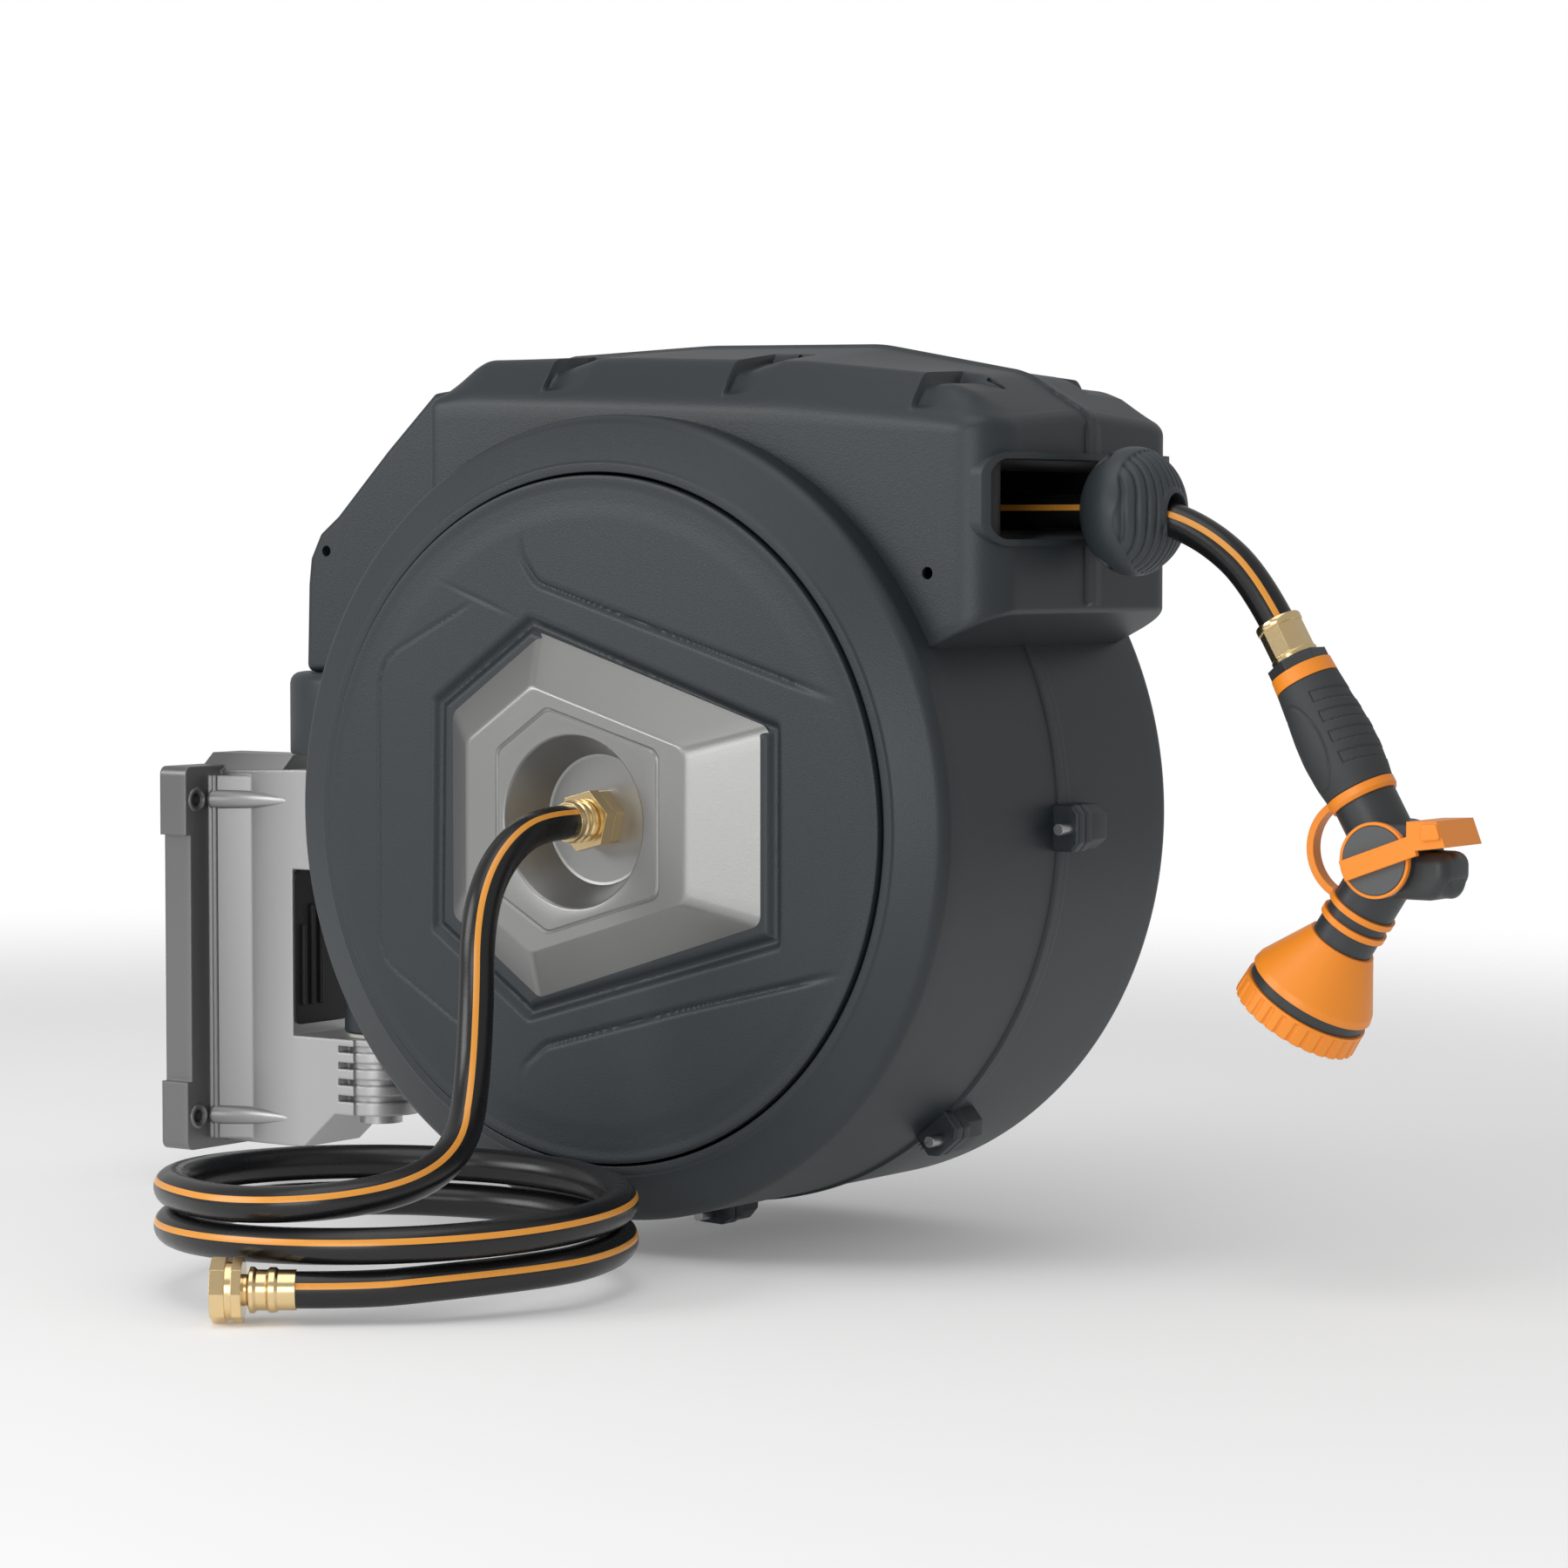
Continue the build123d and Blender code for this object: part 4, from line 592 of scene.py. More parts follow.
def wall_distance(x, y):
    """How far inside the hood's rounded rectangular plan a point lies."""
    corner = np.where(x > 0, FRONT_CORNER, BACK_CORNER)
    middle, half = (HOOD_FRONT + HOOD_BACK) / 2, (HOOD_FRONT - HOOD_BACK) / 2
    past_x = np.abs(x - middle) - (half - corner)
    past_y = np.abs(y) - (HOOD_HALF - corner)
    outside = np.hypot(np.maximum(past_x, 0), np.maximum(past_y, 0))
    return corner - outside - np.minimum(np.maximum(past_x, past_y), 0)


def notch_depth(x, y):
    """Notches in the roof's edge: each drops at its back wall, then climbs forward to nothing."""
    depth = np.zeros_like(x)
    for start in NOTCHES:
        step = ramp((x - start) / 1.8)
        climb = np.clip(1 - (x - start - 6) / (NOTCH_LONG - 6), 0, 1)
        depth += NOTCH_DEEP * step * climb
    across = ramp((np.abs(y) - NOTCH_INNER) / 3) * ramp((HOOD_HALF - 2 - np.abs(y)) / 9)
    return depth * across


def hood_roof(x, y):
    """The roof: level across from the ridge, then a chamfer; its bends along X are averaged over 12 mm."""
    height = 0
    for shift in (-6, -3, 0, 3, 6):
        at = np.clip(x + shift, HOOD_BACK, HOOD_FRONT)
        crease, top, ridge = (np.interp(at, HOOD_X, line) for line in (HOOD_CREASE, HOOD_TOP, HOOD_RIDGE))
        level = ridge + (top - ridge) * np.abs(y) / HOOD_TOP_HALF
        chamfer = top + (crease - top) * (np.abs(y) - HOOD_TOP_HALF) / (HOOD_HALF - HOOD_TOP_HALF)
        height = height + soft_min(level, chamfer, 5) / 5
    return height - 1.6 - notch_depth(x, y)


def hood_half(side):
    """One half of the hood as a grid: columns round its plan, rows from underside to wall to roof.

    Underside and roof rows run from the plan's edge to a spine on the middle plane. Their heights
    are the floor's or roof's formula, rounded off near the wall by a quarter circle.
    """
    corners = soften([(HOOD_BACK, 0), (HOOD_BACK, -HOOD_HALF), (HOOD_FRONT, -HOOD_HALF), (HOOD_FRONT, 0)],
                     np.array([1, BACK_CORNER, FRONT_CORNER, 1]), closed=False, steps=14)
    total = np.linalg.norm(np.diff(corners, axis=0), axis=1).sum()
    fine = np.array([0, 1.2, 2.2, 2.8, 3.4, 4.2, 6, 8, 8.8, 9.6])
    back_walls = np.array(NOTCHES) - HOOD_BACK + HOOD_HALF - (2 - np.pi / 2) * BACK_CORNER
    close = (back_walls[:, None] + np.arange(-0.6, 2.4, 0.6)).ravel()
    stations = np.sort(np.r_[fine, np.arange(12, total - 12, 2.9), close, total - fine])
    plan = along(corners, stations)
    spine_x = np.interp(stations, [0, 147, total - 138, total], [HOOD_BACK, HOOD_BACK + 50, 190, HOOD_FRONT])
    spine = grid_of(spine_x, 0)
    share = np.r_[0, 0.4, 1.1, 2.1, 3.4, 5, np.arange(7.5, 95, 2.6), 97] / 97
    flat = plan[None] + (spine - plan)[None] * share[:, None, None]
    x, y = flat[..., 0], side * -flat[..., 1]
    inside = wall_distance(x, y)
    roof = hood_roof(x, y) + seam_bead(y) - fillet_drop(inside, HOOD_EDGE)
    floor = np.interp(x, HOOD_X, HOOD_LOW) + fillet_drop(inside, 2.5)
    low, high = floor[0], roof[0]
    levels = np.arange(125, 206, 2.5)
    wall_z = np.concatenate([[low + (125 - low) * part for part in (0.3, 0.65)],
                             np.repeat(levels[:, None], len(low), axis=1),
                             [levels[-1] + (high - levels[-1]) * part for part in (0.35, 0.7)]])
    wall_x = np.repeat(x[:1], len(wall_z), axis=0)
    wall_y = np.repeat(y[:1], len(wall_z), axis=0)
    flat_front = ramp((wall_x - HOOD_FRONT + 0.5) * 2)
    grid_x = np.concatenate([x[::-1], wall_x + flat_front * seam_bead(wall_y), x])
    grid_y = np.concatenate([y[::-1], wall_y, y])
    grid_z = np.concatenate([floor[::-1], wall_z, roof])
    return grid_of(grid_x, grid_y, grid_z)


MOUTH_Z, MOUTH_HALF_H, MOUTH_HALF_W, MOUTH_CORNER = 176.3, 21.5, 92.0, 9.0


def hood_keep(middles):
    """Leave out the mouth, and what would lie inside the rim."""
    x, y, z = middles.T
    past_y = np.abs(y) - (MOUTH_HALF_W - MOUTH_CORNER)
    past_z = np.abs(z - MOUTH_Z) - (MOUTH_HALF_H - MOUTH_CORNER)
    outside = np.hypot(np.maximum(past_y, 0), np.maximum(past_z, 0))
    mouth = (x > 200) & (outside + np.minimum(np.maximum(past_y, past_z), 0) < MOUTH_CORNER + 0.5)
    return ~mouth & (np.hypot(x, z) > CASE_R - 6)


SHARP_EDGE = np.radians(38)


def walled(piece, thickness):
    """Give a skin a wall, inwards from its points."""
    skin = piece.modifiers.new("wall", "SOLIDIFY")
    skin.thickness = thickness
    skin.offset = -1


def joined(name, parts, wall=0.0):
    """Put the parts in one mesh, merge the points where they meet, and give it a wall inwards."""
    shape = bmesh.new()
    for part in parts:
        shape.from_mesh(part.data)
        bpy.data.objects.remove(part)
    bmesh.ops.remove_doubles(shape, verts=shape.verts, dist=0.00002)
    loose = [vertex for vertex in shape.verts if not vertex.link_faces]
    bmesh.ops.delete(shape, geom=loose, context="VERTS")
    bmesh.ops.recalc_face_normals(shape, faces=shape.faces)
    mesh = bpy.data.meshes.new(name)
    shape.to_mesh(mesh)
    shape.free()
    mesh.set_sharp_from_angle(angle=SHARP_EDGE)
    piece = add_object(name, mesh)
    if wall:
        walled(piece, wall)
    return piece


def drilled(piece, cutters):
    """Take closed shapes out of a piece: Boolean modifiers, worked out into the mesh."""
    for cutter in cutters:
        cut = piece.modifiers.new("cut", "BOOLEAN")
        cut.operation = "DIFFERENCE"
        cut.object = cutter
    graph = bpy.context.evaluated_depsgraph_get()
    mesh = bpy.data.meshes.new_from_object(piece.evaluated_get(graph))
    piece.modifiers.clear()
    piece.data = mesh
    mesh.shade_smooth()
    mesh.set_sharp_from_angle(angle=SHARP_EDGE)
    for cutter in cutters:
        bpy.data.objects.remove(cutter)
    return piece


def round_outline(middle, radius, steps=32):
    """A circle as a flat outline."""
    turn = full_turn(steps)
    return np.asarray(middle) + radius * grid_of(np.cos(turn), np.sin(turn))


def screw_hole(middle, radius, low, high):
    """A plain cutter through the case's near side, from one distance to another."""
    return slab("cutter", round_outline(middle, radius), low, high, 0.1, 0.1, side_place)


WALL = 0.0025
SCREW_R = 3.3
HOOD_SCREW, HOOD_SCREW_R = (200, 137), 3.4
SLOT_X, SLOT_Y = (17, 28), (41, 44)
hood = joined("case_hood", [surface("hood_near", at_axis(hood_half(1)), keep=hood_keep),
                            surface("hood_far", at_axis(hood_half(-1)), keep=hood_keep, flip=True)], WALL)
cutters = [screw_hole(HOOD_SCREW, HOOD_SCREW_R, 85, 110)]
for start in NOTCHES:
    for side in (-1, 1):
        (back, fore), (inner, outer) = start + np.array(SLOT_X), side * np.array(SLOT_Y)
        slot = [(back, inner), (fore, inner), (fore, outer), (back, outer)]
        cutters.append(slab("cutter", np.array(slot[::side]), 232, 275, 0.1, 0.1, at_axis))
hood = drilled(hood, cutters)
case_part(hood, "case_shell_near", "case_shell_far")
print("hood", len(hood.data.polygons), "faces")

# %% The rim, turned about the drum's axis
PAN_R = 192.0
near_rim = np.array([(PAN_R, -118), (PAN_R, -127), (197, -127.2), (198.5, -125.9), (CASE_R, -115),
                     (CASE_R, -96)])
near_round = np.array([0.1, 0.8, 0.9, 2.5, 9.0, 0.1])
straight = grid_of(CASE_R, np.linspace(-90, -12, 8))
near_side = np.concatenate([soften(near_rim, near_round, closed=False, steps=7), straight])
across_seam = np.linspace(-9, 11, 34)
seam = grid_of(CASE_R + seam_bead(across_seam), across_seam)
far_side = near_side[::-1] * (1, -1)


def rim_keep(middles):
    """Leave the rim open where the hood stands over it."""
    x, y, z = middles.T
    return ~((np.abs(y) < 90) & (z > 108) & (x > HOOD_BACK + 6))


rim_profile = np.concatenate([near_side, seam, far_side])
rim = joined("case_rim", [spun("rim", rim_profile, steps=256, keep=rim_keep, flip=True)], WALL)
case_part(rim)
print("rim", len(rim.data.polygons), "faces")

# %% Tail, rim lugs and swivel lugs
TAIL = np.array([(-146, 150), (-146, 246), (-188, 241), (-224.6, 207.6), (-263.6, 168.9), (-277.4, 158.5),
                 (-285.1, 143.9), (-287, 128), (-288.5, 75), (-200, 75)])
TAIL_SCREW = (-271.0, 148.0)
tail = slab("case_tail", soften(TAIL, 5, steps=5), -38, 38, 4.5, 4.5, side_place)
tail = drilled(tail, [screw_hole(TAIL_SCREW, SCREW_R, 28, 45)])
case_part(tail)
LUG_ANGLES = (-0.6, -50.0, -92.0, -140.0)
LUG_R = 234.0


def at_angle(points, degrees):
    """Turn flat points about the drum's axis."""
    turn = np.radians(degrees)
    x, y = np.asarray(points, float).T
    return grid_of(x * np.cos(turn) - y * np.sin(turn), x * np.sin(turn) + y * np.cos(turn))


lug_block = np.array([(212, -12.5), (233, -12.5), (239.5, -7), (239.5, 7), (233, 12.5), (212, 12.5)])
lug_collar = np.array([(212, -13), (236, -13), (240, -8), (240, 8), (236, 13), (212, 13)])
for count, degrees in enumerate(LUG_ANGLES):
    block = soften(at_angle(lug_block, degrees), 2.0, steps=4)
    collar = soften(at_angle(lug_collar, degrees), 2.0, steps=4)
    screw = at_angle([(LUG_R, 0)], degrees)[0]
    near_lug = slab(f"lug_near_{count}", block, 4, 25, 0.5, 3.5, side_place)
    case_part(drilled(near_lug, [screw_hole(screw, SCREW_R, 21.5, 30)]))
    case_part(slab(f"collar_near_{count}", collar, 0.3, 7.5, 0.8, 1.6, side_place))
    case_part(slab(f"collar_far_{count}", collar, -7.5, -0.3, 1.6, 0.8, side_place))
    case_part(slab(f"lug_far_{count}", block, -25, -4, 3.5, 0.5, side_place))

HINGE = -262.0


def knuckle(radius, reach, half):
    """A swivel lug's plan: an arc about the pin, and two straight sides that run to the case."""
    start = np.arcsin(half / radius)
    turn = np.linspace(start, 2 * np.pi - start, 33)
    arc = grid_of(HINGE + radius * np.cos(turn), radius * np.sin(turn))
    return np.concatenate([arc, [(HINGE + reach, -half), (HINGE + reach, half)]])


case_part(slab("swivel_lug_upper", knuckle(54, 78, 44), 25, 75, 2, 7, at_axis))
case_part(slab("swivel_lug_lower", knuckle(22, 88, 20), -145, -110, 2, 2, at_axis))

# %% [markdown]
# ## Covers and boss
# A cover is a disc with lines pressed into it. A grid in rings holds its height: each line is a
# groove whose depth depends only on the distance to it, and it fades out towards its ends.

# %% The covers
COVER_R = 190.4
COVER_Y = 130.0
BEND_R = 14.0
COVER_RINGS, COVER_COLUMNS = 110, 840
DISH, DISH_R = 0.45, 166
UPPER_LINE = [(-50, 164), (-49, 145), (-38, 131), (61, 101), (167, 69)]
LOWER_LINE = [(-50, -150), (-49, -140), (-33, -127), (60, -102), (171, -75)]
LEFT_LINE = [(-82, 121), (-140, 92), (-149, 85), (-153, 73),
             (-153, -73), (-149, -84), (-140, -91), (-86, -123)]
SHORT_LINE = [(-114, 134), (-48, 110)]
SURROUND = [(123, 53), (-43, 108), (-108, 63), (-110, -63), (-44, -109), (123, -61), (123, 53)]


def line_distance(x, z, points):
    """The distance from each place to a line of straight runs, and how far along it that is, 0 to 1."""
    points = np.asarray(points, float)
    run = np.linalg.norm(np.diff(points, axis=0), axis=1)
    before = np.r_[0, np.cumsum(run)]
    best = np.full(x.shape, 1e9)
    share = np.zeros(x.shape)
    for start, end, length, done in zip(points[:-1], points[1:], run, before):
        way = (end - start) / length
        reach = np.clip((x - start[0]) * way[0] + (z - start[1]) * way[1], 0, length)
        gap = np.hypot(x - start[0] - reach * way[0], z - start[1] - reach * way[1])
        share = np.where(gap < best, (done + reach) / before[-1], share)
        best = np.minimum(gap, best)
    return best, share


def groove(x, z, points, half, depth, fade):
    """A groove along a line: depth times a smooth step of the distance, faded over a share of its ends."""
    gap, share = line_distance(x, z, points)
    ends = ramp(share / fade) * ramp((1 - share) / fade) if fade else 1.0
    return depth * ramp(1 - gap / half) * ends


def cover(name, inner, side, surround):
    """A cover: rings from an inner radius to the edge, which turns back by a quarter circle."""
    turn = np.linspace(0, np.pi / 2, 5)
    radius = np.r_[np.linspace(inner, COVER_R - 1, COVER_RINGS), COVER_R - 1 + np.sin(turn[1:]), COVER_R]
    edge = np.r_[np.zeros(COVER_RINGS), 1 - np.cos(turn[1:]), COVER_Y - 122.5]
    angle = full_turn(COVER_COLUMNS)
    x = radius[:, None] * np.cos(angle)
    z = radius[:, None] * np.sin(angle)
    out = np.hypot(x, z)
    sunk = edge[:, None] + DISH * ramp((out - DISH_R) / 12) * ramp((COVER_R - 1.5 - out) / 6)
    for line, half, depth, fade in ((UPPER_LINE, 3.0, 1.9, 0.16), (LOWER_LINE, 3.0, 1.9, 0.16),
                                    (LEFT_LINE, 1.7, 0.8, 0.06), (SHORT_LINE, 1.6, 0.6, 0.5)):
        bends = np.r_[0.5, np.full(len(line) - 2, BEND_R), 0.5]
        sunk = sunk + groove(x, z, soften(line, bends, closed=False, steps=5), half, depth, fade)
    if surround:
        sunk = sunk + groove(x, z, SURROUND, 6.0, 4.0, 0)
    y = -side * (COVER_Y - sunk)
    grid = at_axis(grid_of(x, y, z))
    return surface(name, grid, around=True, flip=side < 0, caps=not surround)


near_cover = cover("cover_near_face", 56, 1, True)
far_cover = cover("cover_far_face", 1.5, -1, False)
case_part(near_cover, "cover_near")
case_part(far_cover, "cover_far")
print("covers", len(near_cover.data.polygons), "faces each")

# %% [markdown]
# ### The boss
# The grey boss rises from a six-sided foot to a smaller face, with a round cup sunk in its middle.
# Every ring has the same number of points, so one sheet can go from hexagon to circle.

# %% The boss round the inlet
BOSS_FOOT = np.array([(119, 54), (-38, 103.5), (-101, 59), (-101, -59), (-38, -103.5), (119, -54)])
BOSS_FACE = np.array([(76.5, 42), (-29, 74), (-75, 42.5), (-75, -42.5), (-29, -74), (76.5, -42)])
BOSS_LINE = np.array([(58, 40), (-18, 62), (-53, 38), (-53, -42), (-18, -62), (58, -39)])
BOSS_Y, FOOT_Y, CUP_Y = 147.0, 127.0, 121.0
BOSS_WALL = 0.0015
CUP_MOUTH, CUP_FLOOR, SHAFT_R = 47.5, 36.0, 12.0


def even_outline(corners, radius, arc=7, run=12):
    """A rounded polygon with as many points on each corner and each side, whatever its size."""
    arcs = soften(corners, radius, steps=arc).reshape(len(corners), arc, 2)
    after = np.roll(arcs[:, 0], -1, axis=0)
    t = np.linspace(0, 1, run + 2)[1:-1][None, :, None]
    sides = arcs[:, -1:, :] * (1 - t) + after[:, None, :] * t
    return np.concatenate([arcs, sides], axis=1).reshape(-1, 2)


def bend(t, start, corner, end):
    """A curve that leaves start towards a corner and arrives at end, at a share t of its way."""
    return (1 - t) ** 2 * start + 2 * t * (1 - t) * corner + t**2 * end


foot, face, line = even_outline(BOSS_FOOT, 7), even_outline(BOSS_FACE, 8), even_outline(BOSS_LINE, 7)
around_axis = unit(line)
edge_from = foot + (face - foot) * 0.93
edge_to = face + (line - face) * 0.10
foot_y = FOOT_Y + 1
edge_y = foot_y + (BOSS_Y - foot_y) * 0.93
rings = [(foot, FOOT_Y - 2.5), (foot, foot_y), (foot + (face - foot) * 0.5, (foot_y + BOSS_Y) / 2)]
for t in np.linspace(0, 1, 7):
    rings.append((bend(t, edge_from, face, edge_to), bend(t, edge_y, BOSS_Y, BOSS_Y)))
rings.append((face + (line - face) * 0.15, BOSS_Y))
for swell, drop in ((1.022, 0), (1.012, 0.5), (1.0, 0.9), (0.988, 0.5), (0.978, 0)):
    rings.append((line * swell, BOSS_Y - drop))
for radius, y in ((CUP_MOUTH + 1.6, BOSS_Y), (CUP_MOUTH + 0.9, BOSS_Y - 0.2),
                  (CUP_MOUTH + 0.2, BOSS_Y - 0.8), (CUP_MOUTH - 0.4, BOSS_Y - 1.8),
                  (CUP_FLOOR + 1.0, CUP_Y + 1.6), (CUP_FLOOR + 0.4, CUP_Y + 0.5),
                  (CUP_FLOOR - 0.8, CUP_Y + 0.05), (CUP_FLOOR - 1.4, CUP_Y),
                  (SHAFT_R + 0.05, CUP_Y), (SHAFT_R + 0.05, CUP_Y - 2)):
    rings.append((around_axis * radius, y))
boss_grid = np.stack([grid_of(*outline.T, y) for outline, y in rings])
boss = surface("inlet_boss", side_place(boss_grid), around=True)
walled(boss, BOSS_WALL)
dress(boss, "case", "boss", boss_plastic, "hub_trim")
print("boss", len(boss.data.polygons), "faces")

# %% [markdown]
# ## The hose stopper
# A ball clamped on the hose stops it at the mouth. It is an ellipsoid whose points are pushed
# inwards: upright ribs on its front for grip, and two wells over its clamping bolts.

# %% The stopper
STOP_X, STOP_LONG, STOP_R, STOP_BORE = 270.0, 27.5, 35.0, 9.75
RIB_PITCH, RIB_DEPTH, RIB_CUT = 4.8, 1.6, 1.25
WELLS, WELL_R, WELL_DEEP = ((-9, -17), (-9, 17)), 3.9, 5.0
bore_turn = np.arcsin(0.284)
turn = np.linspace(bore_turn, np.pi - bore_turn, 150)[:, None]
roll = full_turn(300)[None]
out_x, out_y, out_z = -np.cos(turn), np.sin(turn) * np.cos(roll), np.sin(turn) * np.sin(roll)
ball = grid_of(STOP_LONG * out_x, STOP_R * out_y, STOP_R * out_z)
outwards = unit(grid_of(out_x / STOP_LONG, out_y / STOP_R, out_z / STOP_R))
bx, by, bz = np.moveaxis(ball, -1, 0)
front = ramp((bx - 7 - 1.6 * np.sin(bz * 0.20)) / 1.6) * ramp((np.hypot(by, bz) - 12.5) / 1.2)
bowed = by * (1 - 0.10 * np.cos(np.pi * bz / STOP_R))
ribs = ramp(1 - np.abs((bowed + RIB_PITCH / 2) % RIB_PITCH - RIB_PITCH / 2) / RIB_CUT)
push = front * (0.6 + RIB_DEPTH * ribs)
for well_x, well_y in WELLS:
    off = np.hypot((bx - well_x) / 1.2, by - well_y)
    push = push + WELL_DEEP * ramp((WELL_R - off) / 0.9)
ball = ball - outwards * push[..., None]
bore = grid_of(0, STOP_BORE * np.cos(roll[0]), STOP_BORE * np.sin(roll[0]))
ends = (ball[-1:, :, 0].mean() - 2.5, ball[:1, :, 0].mean() + 2.5)
bores = np.stack([bore + (x, 0, 0) for x in ends])
ball = np.concatenate([ball, bores, ball[:1]]) + (STOP_X, 0, HOSE_LINE)
stopper = joined("hose_stopper", [surface("stopper", at_axis(ball), around=True)])
dress(stopper, "hose_end", "stopper", stopper_plastic, "stopper_upper", "stopper_lower")

# %% [markdown]
# ## The spray handle
# The grip is turned about the handle's own axis. Its radius loses a little along drawn lines: four
# finger pads, each with an outline, and two long ovals beside them. The brass coupling that holds
# the hose is turned in the same way, with eight flats for a spanner.

# %% The grip and the hose coupling
handle_side = np.array([0, -1.0, 0])
handle_front = np.cross(handle_side, handle_way)


def on_handle(radius, reach, roll):
    """Points about the handle: reach millimetres up it, at an angle from the side that faces -Y."""
    radius, reach, roll = np.broadcast_arrays(radius, reach, roll)
    out = np.cos(roll)[..., None] * handle_side - np.sin(roll)[..., None] * handle_front
    return VALVE + MM * (radius[..., None] * out + reach[..., None] * handle_way)


def sleeve(name, outside, bore_r, ends):
    """Close a skin round the handle with a bore between two ends, top first."""
    bore = [on_handle(bore_r, end, roll) for end in ends]
    return joined(name, [surface("sleeve", np.concatenate([outside, *bore, outside[:1]]), around=True)])


VIEW_SIDE = 30.0
GRIP_FOOT, GRIP_TOP, GRIP_BORE = 40, 104, 13.05
PAD_TOP, PAD_PITCH, PAD_HALF, PAD_LEAN, PAD_LINE = 92.2, 12, 2.9, 0.045, 0.9
PAD_START, PAD_END = -8, 125
OVAL_MIDDLES, OVAL_REACH, OVAL_LONG, OVAL_WIDE = (-62, -118), 70.5, 24, 41
reach = np.linspace(GRIP_FOOT, GRIP_TOP, 120)[:, None]
roll = np.linspace(-np.pi, np.pi, 260, endpoint=False)[None]
plain = np.interp(reach, [40, 50, 64, 76, 90, 104], [18.5, 20.2, 21, 20.4, 18.8, 17.4]) + 0 * roll
kernel = np.ones(13) / 13
plain = np.apply_along_axis(lambda line: np.convolve(np.pad(line, 6, "edge"), kernel, "valid"), 0, plain)
degrees = np.degrees(roll) - VIEW_SIDE + 0 * reach
engraved = np.zeros_like(plain)
for pad in range(4):
    across = np.abs(reach + PAD_LEAN * degrees - PAD_TOP + PAD_PITCH * pad) - PAD_HALF
    off = np.maximum(across, PAD_START - degrees)
    outline = ramp(1 - np.abs(off) / PAD_LINE) * (degrees > PAD_START - 6)
    inside = 0.45 * ramp(-off) * (degrees > PAD_START)
    engraved = np.maximum(engraved, np.maximum(outline, inside) * (degrees < PAD_END))
for middle in OVAL_MIDDLES:
    ring = np.hypot((reach - OVAL_REACH) / OVAL_LONG, (degrees - middle) / OVAL_WIDE)
    engraved = np.maximum(engraved, ramp(1 - np.abs(ring - 1) * 16))
edges = fillet_drop(np.minimum(reach - GRIP_FOOT, GRIP_TOP - reach), 0.8)
grip_grid = on_handle(plain - 0.75 * engraved - edges, reach, roll)
grip = sleeve("handle_grip", grip_grid, GRIP_BORE, (GRIP_TOP, GRIP_FOOT))
dress(grip, "hose_end", "grip", grip_rubber, "nozzle_grip")

COUPLING_FOOT, COUPLING_TOP, COUPLING_BORE = 118.0, 141.7, 9.6
FLAT_R, HALF_FLAT = 11.2, np.pi / 8
reach = np.array([[COUPLING_FOOT, 118.2, 118.8, 120.8, 121.3, 121.5, 124, 128, 132, 137.0,
                   137.2, 137.6, 140.6, 141.4, COUPLING_TOP]]).T
flat_share = (reach > 121.4) & (reach < 137.1)
round_r = np.interp(reach, [118, 118.2, 118.8, 120.8, 121.3, 137.2, 137.6, 140.6, 141.4, 141.7],
                    [11.6, 12.2, 12.8, 12.8, 12.4, 12.4, 12.7, 12.7, 12.2, 11.0])
roll = np.linspace(-np.pi, np.pi, 240, endpoint=False)[None]
flat_r = FLAT_R / np.cos((roll + HALF_FLAT) % (2 * HALF_FLAT) - HALF_FLAT)
radius = round_r * (1 - flat_share) + np.minimum(flat_r, round_r + 0.15) * flat_share
coupling_grid = on_handle(radius, reach, roll)
coupling = sleeve("hose_coupling", coupling_grid, COUPLING_BORE, (COUPLING_TOP, COUPLING_FOOT))
dress(coupling, "hose_end", "brass", brass, "outlet_coupling")

# %% [markdown]
# ## The valve's horn and the lever's ledge
# The valve's housing ends in a blunt horn, and the orange lever in a small ledge for the thumb. Both
# are flat outlines with rounded edges, so a slab makes each. The ledge rides on the lever.

# %% The valve's horn and the lever's ledge
VALVE_XZ = np.array([427.7, -11.3])
horn = soften(VALVE_XZ + [(0, -20.5), (30, -20.5), (38.2, -10), (38.2, 4.7), (0, 4.7)], 9, steps=6)
horn = slab("valve_horn", horn, -15, 15, 6, 6, side_place)
dress(horn, "hose_end", "nozzle_dark", dark_plastic)
ledge = soften(VALVE_XZ + [(29, 11), (40.5, 12.5), (38, 20.4), (29, 20)], 1.5, steps=4)
ledge = slab("lever_ledge", ledge, 24, 27, 0.3, 0.7, side_place)
dress(ledge, "flow_valve", "orange", orange_plastic)

# %% [markdown]
# ## The bracket's mouldings
# Small shapes stand on the die-cast bracket: a collar round each bolt hole, a long tapering relief
# in front of each, and a bead down both sides of the arm. A near-black plate with three ribs lines the
# window in its arm; the plate is painted shade that darkens the window. Each is a piece of its own, so the
# imported bracket stays as it is.

# %% Bracket details
FLANGE_X, ARM_SIDE, BOLT_Y, BOLT_Z = 21.0, 26.0, 48.0, 97.5
ROOT_SIDE, ROOT_END = 38, 46
COLLAR_R, COLLAR_PROUD = 6.4, 1.4
RELIEF_LONG, RELIEF_R = 58, 6.0
RIB_HALF, RIB_LOW, RIB_X = 1.2, -28, (79, 82.5)


def in_row(grid):
    """Millimetres in the row frame as metres."""
    return np.asarray(grid, float) * MM


def collar(name, middle, radius, proud):
    """A ring on the flange: a small round section turned about the bolt's axis."""
    turn = np.linspace(0, np.pi, 9)[:, None]
    roll = full_turn(48)[None]
    ring_r = radius + 1.5 * np.cos(turn)
    x = FLANGE_X - 0.4 + (proud + 0.4) * np.sin(turn)
    grid = grid_of(x, middle[0] + ring_r * np.cos(roll), middle[1] + ring_r * np.sin(roll))
    return joined(name, [surface(name, in_row(np.concatenate([grid, grid[:1]])), around=True)])


